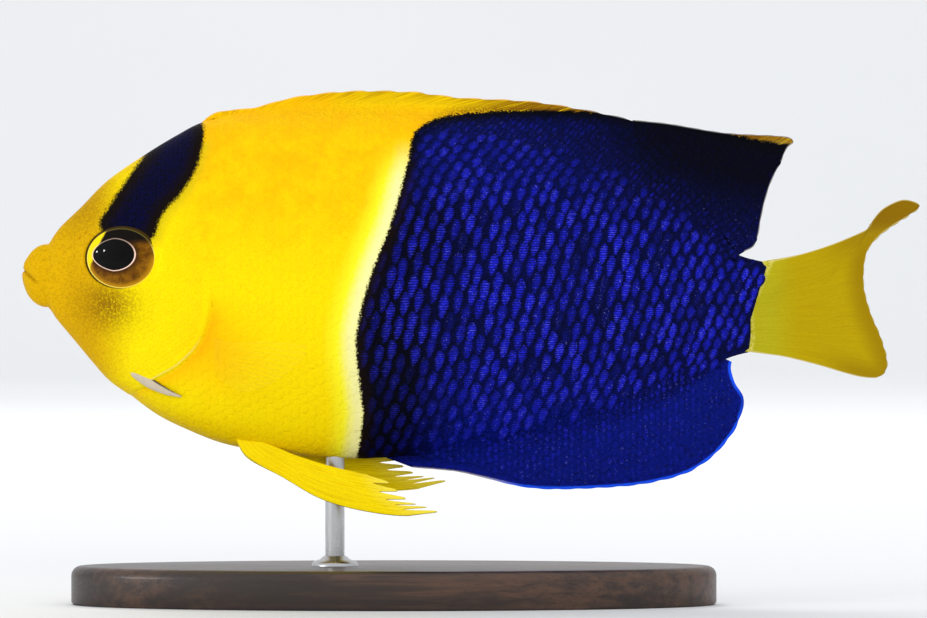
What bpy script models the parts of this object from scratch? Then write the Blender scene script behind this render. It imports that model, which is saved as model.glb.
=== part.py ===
"""Bicolor angelfish, life size, as a still model on a plain display stand.

The fish swims level with its head toward -X and its left side toward -Y; +Z is up.
The origin is on the floor, under the middle of the model. Every size is in millimetres
and becomes metres where a mesh is made. The fish is drawn in its own frame, an empty at
the tip of the snout: x counts back toward the tail, z counts up from the snout's tip.
"""
import math

import bmesh
import bpy
import numpy as np
from mathutils import Matrix, Vector

for old in list(bpy.data.objects):
    bpy.data.objects.remove(old)

MM = 0.001
GAP = 0.3                    # left between pieces that touch

# Overall sizes
TOTAL_LENGTH = 139.3         # snout to the tip of the tail's upper lobe
SNOUT_HEIGHT = 52.6          # tip of the snout above the floor

# The flesh, without its fins: side outlines and half its thickness along the body
BACK = [(4.0, 3.4), (5.9, 6.0), (9.0, 9.0), (13.2, 13.2), (18.8, 17.1), (23.7, 20.1),
        (28.1, 22.3), (33.8, 23.3), (43.1, 24.0), (52.4, 24.3), (61.7, 24.3), (71.0, 23.6),
        (80.3, 22.2), (89.6, 20.0), (96.6, 16.9), (102.8, 12.1), (107.4, 6.4),
        (110.5, 2.0), (118.0, 0.0)]
BELLY = [(4.0, -6.7), (5.4, -8.6), (7.9, -11.6), (12.1, -16.5), (15.7, -19.4),
         (20.9, -23.3), (26.4, -26.0), (31.6, -27.9), (37.7, -29.0), (44.6, -29.8),
         (53.2, -30.1), (63.2, -29.4), (74.1, -28.1), (84.9, -25.7), (95.8, -22.2),
         (103.5, -18.4), (109.4, -14.6), (118.0, -12.6)]
HALF_WIDTH = [(4.0, 2.9), (8.0, 3.9), (15.0, 6.6), (22.0, 8.8), (29.0, 10.3), (38.0, 11.0),
              (50.0, 10.6), (65.0, 9.2), (80.0, 7.1), (95.0, 4.6), (106.0, 2.7),
              (115.0, 1.9)]
EDGE_HALF = [(4.0, 0.35), (26.0, 0.4), (34.0, 0.7), (100.0, 0.7), (115.0, 0.5)]
ROUNDNESS = [(4.0, 0.5), (26.0, 0.52), (50.0, 0.62), (95.0, 0.8), (115.0, 0.6)]

# Lines across the flesh where one named part ends and the next begins, belly to back
MOUTH_LINE = [(4.0, -9.0), (4.0, 6.0)]
GILL_LINE = [(16.4, -20.0), (20.6, -17.5), (24.8, -15.0), (28.2, -10.9), (29.5, -3.9),
             (28.7, 4.7), (27.1, 22.0)]
COLOUR_LINE = [(53.3, -30.1), (52.7, -19.4), (52.4, -9.3), (54.2, 0.5), (57.5, 10.1),
               (60.8, 19.4), (62.3, 24.2)]
STEM_LINE = [(107.0, -17.0), (107.0, 8.0)]
TAIL_LINE = [(112.5, -13.3), (112.8, -10.7), (112.8, -7.4), (113.6, -4.7), (114.7, -1.6),
             (115.5, 0.5)]
FLESH_ROWS = 20              # strips from belly to back

# Mouth, eyes, nostrils, gill covers and cheek spines
LIPS_CENTRE = (4.0, 0.0, -1.65)
LIPS_HALF = (4.0, 2.9, 5.05)
MOUTH_CORNER = (2.4, -2.9)
MOUTH_OPENING = 0.7
EYE_CENTRE = (15.3, 1.3)
EYE_HALF = (5.8, 2.0, 5.2)   # along the body, outward, up
EYE_BULGE = 1.2              # stands out of the head
EYE_TURN = 20.0              # degrees the eyes look forward of sideways
ORBIT_RIM_HALF = 0.42
NOSTRILS = [(9.0, 4.2), (10.0, 5.0)]
NOSTRIL_RADIUS = 0.45
GILL_COVER_LIFT = 0.45
CHEEK_SPINE = [(15.8, -15.2), (17.1, -16.6), (19.9, -18.3), (22.6, -19.5), (25.0, -20.1)]
CHEEK_SPINE_HALF = [0.8, 0.95, 0.8, 0.5, 0.12]
CHEEK_SPINE_LIFT = [-0.9, -0.1, 0.55, 0.75, 0.65]

# Fins: the free margins, and how many spines and soft rays each one has
FIN_HALF = 0.42
FIN_EDGE_HALF = 0.27
RAY_HEIGHT = 0.18
SPINY_DORSAL_ROOT = (28.4, 89.6)
SPINY_DORSAL_MARGIN = [(33.0, 24.15), (39.2, 25.3), (43.1, 26.2), (50.8, 27.0),
                       (60.5, 26.9), (67.9, 26.0), (78.9, 25.4), (87.9, 24.0),
                       (94.8, 22.5)]
SPINY_DORSAL_SPINES = 15
SOFT_DORSAL_ROOT_END = 110.2
SOFT_DORSAL_MARGIN = [(94.8, 22.5), (100.4, 21.9), (109.1, 20.5), (117.8, 20.0),
                      (119.7, 19.2), (118.6, 18.1), (117.6, 15.8), (116.3, 13.3),
                      (115.3, 10.4), (114.5, 7.4), (114.0, 4.5), (112.2, 2.15)]
SOFT_DORSAL_RAYS = 16
ANAL_ROOT = (53.9, 108.0)
ANAL_MARGIN = [(60.6, -31.4), (67.1, -32.0), (71.2, -32.9), (77.5, -34.4), (83.4, -34.8),
               (92.5, -34.4), (97.9, -33.7), (103.0, -32.3), (106.6, -30.1),
               (108.8, -27.9), (110.6, -25.4), (111.7, -22.5), (111.9, -20.6),
               (110.6, -18.4), (109.9, -16.3), (110.0, -15.0)]
ANAL_RAYS = 20
TAIL_UPPER_EDGE = [(115.8, 0.5), (120.4, 1.6), (125.6, 3.2), (130.0, 4.9), (131.3, 5.7),
                   (132.0, 7.0), (133.6, 8.8), (136.4, 10.1), (138.6, 9.7), (139.3, 9.0)]
TAIL_MARGIN = [(139.3, 9.0), (137.8, 7.8), (135.2, 6.2), (133.0, 4.6), (131.4, 2.8),
               (130.7, 1.0), (130.5, -1.6), (130.7, -4.2), (131.7, -7.7), (133.0, -10.7),
               (133.9, -13.4), (134.2, -15.1), (133.9, -16.6), (132.6, -17.5)]
TAIL_LOWER_EDGE = [(112.8, -13.3), (115.4, -13.8), (118.6, -14.3), (123.4, -15.5),
                   (127.8, -16.8), (130.4, -17.4), (132.6, -17.5)]
TAIL_RAYS = 17
TAIL_NECK = (131.2, 4.8)     # where the upper lobe turns edge-on
TAIL_TURN = 1.3              # each edge of the lobe leaves the fin's plane there
PELVIC_ROOT = [(33.2, -27.0), (35.2, -27.4), (37.2, -27.6)]
PELVIC_SPREAD = (2.5, 20.0)  # half the space between the roots, degrees of splay
PELVIC_LEADING_EDGE = [(33.2, -27.0), (35.2, -29.8), (40.6, -32.8), (45.9, -35.8),
                       (51.2, -37.5), (58.3, -38.6), (65.1, -38.4)]
PELVIC_TRAILING_EDGE = [(37.2, -27.6), (41.5, -30.0), (49.0, -31.6), (56.3, -33.0)]
PELVIC_MARGIN = [(65.1, -38.4), (63.2, -37.5), (60.4, -36.6), (58.3, -34.9),
                 (56.3, -33.0)]
PELVIC_RAYS = 6
RIGHT_PELVIC_RAISE = 8.0     # degrees that the right fin is held above the left
PECTORAL_ROOT = [(29.3, -11.2), (29.5, -13.8), (29.8, -16.6)]
PECTORAL_UPPER_EDGE = [(29.3, -11.2), (33.6, -11.9), (38.5, -11.6), (44.5, -12.1)]
PECTORAL_MARGIN = [(44.5, -12.1), (44.6, -13.6), (42.8, -15.8), (40.0, -17.8),
                   (37.0, -19.2), (34.6, -19.6)]
PECTORAL_LOWER_EDGE = [(29.8, -16.6), (32.2, -18.4), (34.6, -19.6)]
PECTORAL_RAYS = 13
PECTORAL_ANGLE = 45.0        # degrees held out from the flank

# Display stand
BASE_LENGTH = 100.0
BASE_WIDTH = 46.0
BASE_THICKNESS = 6.0
BASE_CENTRE_X = -12.0        # under the model's balance point
BASE_EDGE = 1.5
ROD_RADIUS = 1.5
ROD_FROM_SNOUT = 48.5

MODEL = bpy.data.collections.new("bicolor_angelfish")
CUTTERS = bpy.data.collections.new("cutters")
for collection in (MODEL, CUTTERS):
    bpy.context.scene.collection.children.link(collection)
FISH = bpy.data.objects.new("fish", None)
FISH.location = Vector((-TOTAL_LENGTH / 2, 0, SNOUT_HEIGHT)) * MM
MODEL.objects.link(FISH)

# Heights of the flesh's rows, from -1 at the belly to 1 at the back, closer near the edges
ROW_LEVELS = np.sin(np.linspace(-math.pi / 2, math.pi / 2, FLESH_ROWS + 1))


def smooth(points, steps=10):
    """A smooth curve (Catmull-Rom) through the points."""
    p = np.array(points, float)
    p = np.vstack([2 * p[0] - p[1], p, 2 * p[-1] - p[-2]])
    t = np.linspace(0, 1, steps, endpoint=False)[:, None]
    spans = []
    for a, b, c, d in zip(p[:-3], p[1:-2], p[2:-1], p[3:]):
        cubic = (3 * b - a - 3 * c + d) * t ** 3
        spans.append(0.5 * (2 * b + (c - a) * t + (2 * a - 5 * b + 4 * c - d) * t ** 2 + cubic))
    return np.vstack(spans + [p[-2:-1]])


def along(curve, places):
    """Points of a curve at the given fractions of its length."""
    steps = np.hypot(*np.diff(curve, axis=0).T)
    travelled = np.concatenate([[0], np.cumsum(steps)])
    wanted = np.asarray(places) * travelled[-1]
    return np.column_stack([np.interp(wanted, travelled, axis) for axis in curve.T])


def offset(curve, distance):
    """The curve moved sideways, to the left of its own direction."""
    tangent = np.gradient(curve, axis=0)
    tangent /= np.linalg.norm(tangent, axis=1)[:, None]
    return curve + distance * np.column_stack([-tangent[:, 1], tangent[:, 0]])


def between(curve, start, end):
    """The stretch of a curve whose x runs from start to end."""
    x = np.linspace(start, end, 80)
    return np.column_stack([x, np.interp(x, curve[:, 0], curve[:, 1])])


def ease(value, start, end):
    """0 before start, 1 after end, and smooth between them."""
    t = np.clip((np.asarray(value) - start) / (end - start), 0, 1)
    return t * t * (3 - 2 * t)


BACK_CURVE = smooth(BACK)
BELLY_CURVE = smooth(BELLY)
WIDTH_CURVE = smooth(HALF_WIDTH)


def heights(x):
    """Middle height and half the depth of the flesh."""
    top = np.interp(x, BACK_CURVE[:, 0], BACK_CURVE[:, 1])
    bottom = np.interp(x, BELLY_CURVE[:, 0], BELLY_CURVE[:, 1])
    return (top + bottom) / 2, (top - bottom) / 2


def flank(x, level):
    """Half the thickness at x, where level runs from -1 at the belly to 1 at the back."""
    edge = np.interp(x, *zip(*EDGE_HALF))
    middle = np.interp(x, WIDTH_CURVE[:, 0], WIDTH_CURVE[:, 1])
    power = np.interp(x, *zip(*ROUNDNESS))
    return edge + (middle - edge) * np.maximum(1 - np.abs(level) ** 2, 0) ** power


def on_flank(x, z, side, lift=0.0):
    """A point of the skin, lifted along its normal; side is -1 for left, 1 for right."""
    def half(px, pz):
        middle, depth = heights(px)
        return float(flank(px, np.clip((pz - middle) / depth, -1, 1)))
    step = 0.2
    slope_x = (half(x + step, z) - half(x - step, z)) / (2 * step)
    slope_z = (half(x, z + step) - half(x, z - step)) / (2 * step)
    normal = Vector((-slope_x, side, -slope_z)).normalized()
    return Vector((x, side * half(x, z), z)) + normal * lift


def new_object(name, mesh, colour, roughness=0.45, metallic=0.0, parent=None):
    """A named piece of the model with its own material."""
    obj = bpy.data.objects.new(name, mesh)
    MODEL.objects.link(obj)
    material = bpy.data.materials.new(name)
    material.use_nodes = True
    shader = material.node_tree.nodes["Principled BSDF"]
    shader.inputs["Base Color"].default_value = (*colour, 1)
    shader.inputs["Roughness"].default_value = roughness
    shader.inputs["Metallic"].default_value = metallic
    obj.data.materials.clear()
    obj.data.materials.append(material)
    obj.parent = parent
    return obj


def mesh_from(bm, name):
    """Turn a bmesh into a mesh with its faces pointing out."""
    bmesh.ops.recalc_face_normals(bm, faces=bm.faces)
    mesh = bpy.data.meshes.new(name)
    bm.to_mesh(mesh)
    bm.free()
    mesh.shade_smooth()
    mesh.set_sharp_from_angle(angle=math.radians(40))
    return mesh


def two_sided(name, left, right):
    """One closed body between two facing grids of points, with triangles alike on both."""
    columns, rows = left.shape[:2]
    bm = bmesh.new()
    near = [[bm.verts.new(Vector(p) * MM) for p in line] for line in left]
    far = [[bm.verts.new(Vector(p) * MM) for p in line] for line in right]
    for i in range(columns - 1):
        for j in range(rows - 1):
            for side in (near, far):
                bm.faces.new((side[i][j], side[i + 1][j], side[i + 1][j + 1]))
                bm.faces.new((side[i][j], side[i + 1][j + 1], side[i][j + 1]))
    rim = [(i, 0) for i in range(columns)]
    rim += [(columns - 1, j) for j in range(1, rows)]
    rim += [(i, rows - 1) for i in range(columns - 2, -1, -1)]
    rim += [(0, j) for j in range(rows - 2, 0, -1)]
    for (i, j), (k, m) in zip(rim, rim[1:] + rim[:1]):
        bm.faces.new((near[i][j], far[i][j], far[k][m], near[k][m]))
    return mesh_from(bm, name)


def bake(obj):
    """Apply an object's modifiers and keep its largest closed surface."""
    bpy.context.view_layer.update()
    material = obj.data.materials[0]
    shaped = obj.evaluated_get(bpy.context.evaluated_depsgraph_get())
    mesh = bpy.data.meshes.new_from_object(shaped)
    obj.modifiers.clear()
    bm = bmesh.new()
    bm.from_mesh(mesh)
    unseen = set(bm.verts)
    surfaces = []
    while unseen:
        surface = [unseen.pop()]
        for vert in surface:
            for edge in vert.link_edges:
                other = edge.other_vert(vert)
                if other in unseen:
                    unseen.discard(other)
                    surface.append(other)
        surfaces.append(surface)
    surfaces.sort(key=lambda s: sum(f.calc_area() for v in s for f in v.link_faces))
    for surface in surfaces[:-1]:
        bmesh.ops.delete(bm, geom=surface, context="VERTS")
    obj.data = mesh_from(bm, obj.name)
    obj.data.materials.append(material)


def combine(obj, operation, pieces):
    """One Boolean of an object with a collection of closed pieces, which are then removed."""
    group = bpy.data.collections.new(f"{obj.name}_{operation.lower()}")
    CUTTERS.children.link(group)
    for piece in pieces:
        group.objects.link(piece)
    boolean = obj.modifiers.new(operation.title(), "BOOLEAN")
    boolean.operation = operation
    boolean.operand_type = "COLLECTION"
    boolean.collection = group
    bake(obj)
    for piece in pieces:
        bpy.data.objects.remove(piece)
    bpy.data.collections.remove(group)


def loose_piece(mesh, parent):
    """A piece that is joined to another one or cut out of it."""
    obj = bpy.data.objects.new(mesh.name, mesh)
    mesh.materials.append(bpy.data.materials.new(mesh.name))
    obj.parent = parent
    obj.hide_render = True
    obj.display_type = "WIRE"
    return obj


def grown_copy(obj, distance):
    """A copy of a piece with its whole surface moved outward, used to cut its neighbours."""
    copy = loose_piece(obj.data.copy(), obj.parent)
    CUTTERS.objects.link(copy)
    displace = copy.modifiers.new("Displace", "DISPLACE")
    displace.mid_level = 0
    displace.strength = distance * MM
    bake(copy)
    CUTTERS.objects.unlink(copy)
    return copy


def row_places(line, shift):
    """Where a dividing line crosses each row of the flesh, moved forward by shift."""
    curve = smooth([np.array(line[0]) * 2 - line[1], *line, np.array(line[-1]) * 2 - line[-2]])
    curve = offset(curve, shift)
    middle, depth = heights(curve[:, 0])
    levels = (curve[:, 1] - middle) / depth
    return np.interp(ROW_LEVELS, levels, curve[:, 0])


def flesh(name, front, rear, columns, colour, lift=None):
    """A closed length of the body between two dividing lines."""
    start = row_places(front, -GAP / 2)
    end = row_places(rear, GAP / 2)
    place = np.linspace(0, 1, columns + 1)[:, None]
    x = start + (end - start) * place
    middle, depth = heights(x)
    z = middle + depth * ROW_LEVELS
    y = flank(x, ROW_LEVELS)
    if lift:
        y = y + lift(place, ROW_LEVELS)
    mesh = two_sided(name, np.stack([x, -y, z], axis=2), np.stack([x, y, z], axis=2))
    return new_object(name, mesh, colour, parent=FISH)


def gill_cover_lift(place, level):
    """The gill cover stands a little off the flank along its rear edge."""
    covered = ease(level, -0.98, -0.7) * (1 - ease(level, 0.25, 0.6))
    return GILL_COVER_LIFT * ease(place, 0.6, 1.0) * covered


def ellipsoid(name, centre, half, turn=0.0, segments=24, rings=12):
    """A closed ellipsoid, turned about its upright axis by degrees."""
    bm = bmesh.new()
    bmesh.ops.create_uvsphere(bm, u_segments=segments, v_segments=rings, radius=MM)
    bmesh.ops.scale(bm, vec=half, verts=bm.verts)
    placed = Matrix.Translation(Vector(centre) * MM) @ Matrix.Rotation(math.radians(turn), 4, "Z")
    bmesh.ops.transform(bm, matrix=placed, verts=bm.verts)
    return mesh_from(bm, name)


def eye_centre(side):
    """Where the middle of an eyeball lies."""
    return on_flank(*EYE_CENTRE, side, EYE_BULGE - EYE_HALF[1])


def orbit_rim(side):
    """The low ring of skin round an eye: a torus stretched to the eye's oval."""
    reach = math.sqrt(1 - ((EYE_HALF[1] - EYE_BULGE) / EYE_HALF[1]) ** 2)
    bpy.ops.mesh.primitive_torus_add(major_radius=1, minor_radius=ORBIT_RIM_HALF / 5,
                                     major_segments=28, minor_segments=6)
    torus = bpy.context.object
    bm = bmesh.new()
    bm.from_mesh(torus.data)
    bpy.data.objects.remove(torus)
    bmesh.ops.rotate(bm, matrix=Matrix.Rotation(math.pi / 2, 3, "X"), verts=bm.verts)
    size = (EYE_HALF[0] * reach + 0.3, 5.0, EYE_HALF[2] * reach + 0.3)
    bmesh.ops.scale(bm, vec=Vector(size) * MM, verts=bm.verts)
    centre = on_flank(*EYE_CENTRE, side, -0.25) * MM
    placed = Matrix.Translation(centre) @ Matrix.Rotation(math.radians(side * EYE_TURN), 4, "Z")
    bmesh.ops.transform(bm, matrix=placed, verts=bm.verts)
    return loose_piece(mesh_from(bm, "orbit_rim"), FISH)


def cheek_spine(side, sides=8):
    """The long spine at the lower corner of the cheek, thick at its root and pointed."""
    centres = [on_flank(x, z, side, lift) for (x, z), lift in zip(CHEEK_SPINE, CHEEK_SPINE_LIFT)]
    bm = bmesh.new()
    rings = []
    for i, (centre, half) in enumerate(zip(centres, CHEEK_SPINE_HALF)):
        before = centres[max(i - 1, 0)]
        after = centres[min(i + 1, len(centres) - 1)]
        forward = (after - before).normalized()
        across = forward.cross(Vector((0, side, 0))).normalized()
        outward = across.cross(forward)
        ring = []
        for k in range(sides):
            angle = 2 * math.pi * k / sides
            spot = centre + across * half * math.cos(angle) + outward * 0.6 * half * math.sin(angle)
            ring.append(bm.verts.new(spot * MM))
        rings.append(ring)
    for ring, following in zip(rings, rings[1:]):
        for k in range(sides):
            m = (k + 1) % sides
            bm.faces.new((ring[k], ring[m], following[m], following[k]))
    bm.faces.new(rings[0])
    bm.faces.new(rings[-1])
    return loose_piece(mesh_from(bm, "cheek_spine"), FISH)


def make_lips():
    """The pouting lips: a dome on the snout with the line of the mouth cut in."""
    dome = ellipsoid("lips", LIPS_CENTRE, LIPS_HALF)
    lips = new_object("lips", dome, (0.72, 0.42, 0.02), parent=FISH)
    bm = bmesh.new()
    bmesh.ops.create_cube(bm, size=20 * MM)
    rear = (MOUTH_LINE[0][0] - GAP / 2 + 10, 0, 0)
    bmesh.ops.translate(bm, vec=Vector(rear) * MM, verts=bm.verts)
    behind = loose_piece(mesh_from(bm, "behind_lips"), FISH)
    bm = bmesh.new()
    bmesh.ops.create_cube(bm, size=1)
    bmesh.ops.translate(bm, vec=(-0.5, 0, 0), verts=bm.verts)
    depth = math.hypot(*MOUTH_CORNER) + 1
    bmesh.ops.scale(bm, vec=Vector((depth, 12, MOUTH_OPENING)) * MM, verts=bm.verts)
    inner = [v for v in bm.verts if v.co.x > -0.5 * MM]
    bmesh.ops.scale(bm, vec=(1, 1, 0.2), verts=inner)
    slope = math.atan2(-MOUTH_CORNER[1], MOUTH_CORNER[0])
    bmesh.ops.rotate(bm, matrix=Matrix.Rotation(slope, 3, "Y"), verts=bm.verts)
    corner = Vector((MOUTH_CORNER[0], 0, MOUTH_CORNER[1])) * MM
    bmesh.ops.translate(bm, vec=corner, verts=bm.verts)
    mouth = loose_piece(mesh_from(bm, "mouth_line"), FISH)
    combine(lips, "DIFFERENCE", [behind, mouth])


def make_head():
    """Head from the lips to the gill covers, with orbits, nostrils and cheek spines."""
    head = flesh("head", MOUTH_LINE, GILL_LINE, 16, (0.80, 0.52, 0.01), gill_cover_lift)
    combine(head, "UNION", [make(side) for make in (orbit_rim, cheek_spine) for side in (-1, 1)])
    cuts = []
    socket = [half + GAP for half in EYE_HALF]
    for side in (-1, 1):
        sphere = ellipsoid("socket", eye_centre(side), socket, side * EYE_TURN)
        cuts.append(loose_piece(sphere, FISH))
        for x, z in NOSTRILS:
            pit = [NOSTRIL_RADIUS] * 3
            sphere = ellipsoid("nostril", on_flank(x, z, side), pit, segments=8, rings=6)
            cuts.append(loose_piece(sphere, FISH))
    combine(head, "DIFFERENCE", cuts)
    return head


def make_eyes():
    """Two domed eyes set in their sockets."""
    for name, side in (("eye_left", -1), ("eye_right", 1)):
        ball = ellipsoid(name, eye_centre(side), EYE_HALF, side * EYE_TURN)
        new_object(name, ball, (0.12, 0.05, 0.01), 0.08, parent=FISH)


def sheet(root, margin, first, last, rays, rows, notch=1.0):
    """Grid of points on a fin, in x and z: two columns for each ray, root to margin.

    The four edges are curves, and the inside follows them evenly (a Coons patch).
    Between rays the margin is drawn in, to the notch's fraction of the length.
    """
    across = np.linspace(0, 1, 2 * rays + 1)[:, None, None]
    up = np.linspace(0, 1, rows + 1)[None, :, None]
    keep = np.where(np.arange(2 * rays + 1) % 2 == 0, notch, 1.0)[:, None, None]
    up = up * keep
    root = along(smooth(root), across.ravel())[:, None]
    margin = along(smooth(margin), across.ravel())[:, None]
    first, last = along_sides(first, up), along_sides(last, up)
    ruled = root * (1 - up) + margin * up
    corners = (root[:1] * (1 - across) * (1 - up) + root[-1:] * across * (1 - up)
               + margin[:1] * (1 - across) * up + margin[-1:] * across * up)
    return ruled + first * (1 - across) + last * across - corners


def along_sides(edge, up):
    """An outer edge of a fin at each grid point's fraction of the length."""
    points = along(smooth(edge), up.ravel())
    return points.reshape(up.shape[0], up.shape[1], 2)


def fin(name, flat, sideways, root_half, rows, colour, fade=0.35):
    """A closed fin: a membrane with its rays as ridges, thinner toward the margin.

    flat holds the grid's x and z, sideways its y, and root_half the half thickness
    along the root, which eases into the membrane's own over the fade.
    """
    centre = np.stack([flat[:, :, 0], sideways, flat[:, :, 1]], axis=2)
    normal = np.cross(np.gradient(centre, axis=1), np.gradient(centre, axis=0))
    normal /= np.linalg.norm(normal, axis=2)[:, :, None]
    up = np.linspace(0, 1, rows + 1)[None, :]
    ridge = (np.arange(len(flat)) % 2)[:, None] * RAY_HEIGHT * ease(up, 0, 0.15) * (1 - 0.6 * up)
    membrane = FIN_HALF + (FIN_EDGE_HALF - FIN_HALF) * ease(up, fade, 1.0)
    blend = ease(up, 0, fade)
    half = (np.reshape(root_half, (-1, 1)) * (1 - blend) + membrane * blend + ridge)[:, :, None]
    mesh = two_sided(name, centre - normal * half, centre + normal * half)
    return new_object(name, mesh, colour, 0.5, parent=FISH)


def median_fin(name, root, margin, rays, rows, colour, notch):
    """A fin in the middle plane, on the edge of the back or the belly."""
    first = np.linspace(root[0], margin[0], 5)
    last = np.linspace(root[-1], margin[-1], 5)
    flat = sheet(root, margin, first, last, rays, rows, notch)
    root_half = np.interp(flat[:, 0, 0], *zip(*EDGE_HALF))
    return fin(name, flat, np.zeros(flat.shape[:2]), root_half, rows, colour)


def make_dorsal_fin():
    """The long dorsal fin: low swept-back spines in front, tall soft rays behind."""
    line = offset(BACK_CURVE, GAP)
    joint = np.array([between(line, SPINY_DORSAL_ROOT[1], SPINY_DORSAL_ROOT[1] + 1)[0],
                      SPINY_DORSAL_MARGIN[-1]])
    ahead = offset(joint, GAP / 2)
    behind = offset(joint, -GAP / 2)
    root = between(line, SPINY_DORSAL_ROOT[0], ahead[0, 0])
    root[-1] = ahead[0]
    margin = [*SPINY_DORSAL_MARGIN[:-1], ahead[1]]
    median_fin("dorsal_fin_spiny", root, margin, SPINY_DORSAL_SPINES, 3, (0.85, 0.65, 0.01), 0.86)
    root = between(line, behind[0, 0], SOFT_DORSAL_ROOT_END)
    root[0] = behind[0]
    margin = [behind[1], *SOFT_DORSAL_MARGIN[1:]]
    median_fin("dorsal_fin_soft", root, margin, SOFT_DORSAL_RAYS, 5, (0.01, 0.01, 0.09), 0.985)


def make_anal_fin():
    """The anal fin: three spines, then soft rays to a rounded rear corner."""
    root = between(offset(BELLY_CURVE, -GAP), *ANAL_ROOT)
    median_fin("anal_fin", root, ANAL_MARGIN, ANAL_RAYS, 4, (0.01, 0.02, 0.35), 0.985)


def make_tail_fin():
    """The tail fin: root as thick as the stem, upper lobe long and turned at its neck."""
    rows = 11
    root = offset(smooth(TAIL_LINE), -GAP / 2)
    low = [root[0], *TAIL_LOWER_EDGE[1:]]
    high = [root[-1], *TAIL_UPPER_EDGE[1:]]
    flat = sheet(root, TAIL_MARGIN[::-1], low, high, TAIL_RAYS, rows)
    middle, depth = heights(flat[:, 0, 0])
    stem = flank(flat[:, 0, 0], np.clip((flat[:, 0, 1] - middle) / depth, -1, 1))
    from_neck = flat - np.array(TAIL_NECK)
    lobe_way = np.array(TAIL_UPPER_EDGE[-1]) - TAIL_NECK
    lobe_way /= np.linalg.norm(lobe_way)
    outward = from_neck @ lobe_way
    across = from_neck @ np.array([-lobe_way[1], lobe_way[0]])
    turned = ease(outward, -8.0, 0.5) * (1 - 0.7 * ease(outward, 0.5, 8.0))
    in_lobe = ease(across, -6.0, -2.0)
    sideways = TAIL_TURN * turned * in_lobe * np.tanh(across)
    return fin("tail_fin", flat, sideways, stem, rows, (0.62, 0.44, 0.0), fade=0.3)


def turned_about(points, centre, degrees):
    """Points of the side view, turned about a centre."""
    angle = math.radians(degrees)
    turn = np.array([[math.cos(angle), -math.sin(angle)], [math.sin(angle), math.cos(angle)]])
    return (np.array(points) - centre) @ turn.T + centre


def make_pelvic_fins(cutters):
    """Two pelvic fins, folded back under the belly and splayed to clear the rod."""
    rows = 6
    half_space, splay = PELVIC_SPREAD
    for name, side, rise in (("pelvic_fin_left", -1, 0.0), ("pelvic_fin_right", 1, RIGHT_PELVIC_RAISE)):
        edges = [PELVIC_ROOT, PELVIC_MARGIN, PELVIC_LEADING_EDGE, PELVIC_TRAILING_EDGE]
        root, margin, first, last = [turned_about(e, PELVIC_ROOT[0], rise) for e in edges]
        flat = sheet(root, margin, first, last, PELVIC_RAYS, rows, 0.9)
        below = PELVIC_ROOT[0][1] - flat[:, :, 1]
        sideways = side * (half_space + math.tan(math.radians(splay)) * np.maximum(below, 0))
        obj = fin(name, flat, sideways, FIN_HALF, rows, (0.85, 0.62, 0.01))
        combine(obj, "DIFFERENCE", [grown_copy(c, GAP) for c in cutters])


def make_pectoral_fins(cutters):
    """Two fan-shaped pectoral fins, held out from the flanks behind the gill covers."""
    rows = 6
    slope = math.tan(math.radians(PECTORAL_ANGLE))
    for name, side in (("pectoral_fin_left", -1), ("pectoral_fin_right", 1)):
        flat = sheet(PECTORAL_ROOT, PECTORAL_MARGIN, PECTORAL_UPPER_EDGE, PECTORAL_LOWER_EDGE,
                     PECTORAL_RAYS, rows, 0.97)
        start = [on_flank(x, z, side).y for x, z in flat[:, 0]]
        reach = flat[:, :, 0] - flat[:, :1, 0]
        out = reach * slope * (1.15 - 0.012 * reach) - 0.6
        sideways = np.reshape(start, (-1, 1)) + side * out
        obj = fin(name, flat, sideways, FIN_HALF, rows, (0.85, 0.50, 0.02))
        combine(obj, "DIFFERENCE", [grown_copy(c, GAP) for c in cutters])


def make_stand(carried):
    """An oval wooden base and one steel rod up to the belly."""
    bm = bmesh.new()
    bmesh.ops.create_cone(bm, cap_ends=True, segments=56, radius1=0.5, radius2=0.5, depth=1)
    bmesh.ops.scale(bm, vec=Vector((BASE_LENGTH, BASE_WIDTH, BASE_THICKNESS)) * MM, verts=bm.verts)
    base = new_object("stand_base", mesh_from(bm, "stand_base"), (0.05, 0.03, 0.02), 0.4)
    base.location = Vector((BASE_CENTRE_X, 0, BASE_THICKNESS / 2)) * MM
    bevel = base.modifiers.new("Bevel", "BEVEL")
    bevel.width = BASE_EDGE * MM
    bevel.segments = 3
    bottom = BASE_THICKNESS + GAP
    rod_x = ROD_FROM_SNOUT - TOTAL_LENGTH / 2
    middle, depth = heights(ROD_FROM_SNOUT)
    top = SNOUT_HEIGHT + middle - depth + 2.0
    bm = bmesh.new()
    bmesh.ops.create_cone(bm, cap_ends=True, segments=24, radius1=ROD_RADIUS * MM,
                          radius2=ROD_RADIUS * MM, depth=(top - bottom) * MM)
    rod = new_object("stand_rod", mesh_from(bm, "stand_rod"), (0.6, 0.6, 0.6), 0.3, 1.0)
    rod.location = Vector((rod_x, 0, (top + bottom) / 2)) * MM
    combine(rod, "DIFFERENCE", [grown_copy(c, GAP) for c in carried])


def main():
    make_lips()
    head = make_head()
    make_eyes()
    front = flesh("trunk_front", GILL_LINE, COLOUR_LINE, 11, (0.90, 0.70, 0.01))
    flesh("trunk_rear", COLOUR_LINE, STEM_LINE, 15, (0.01, 0.01, 0.25))
    flesh("tail_stem", STEM_LINE, TAIL_LINE, 4, (0.01, 0.01, 0.20))
    make_dorsal_fin()
    make_anal_fin()
    make_tail_fin()
    make_pelvic_fins([front])
    make_pectoral_fins([front, head])
    make_stand([front])


main()
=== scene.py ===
import math

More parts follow.
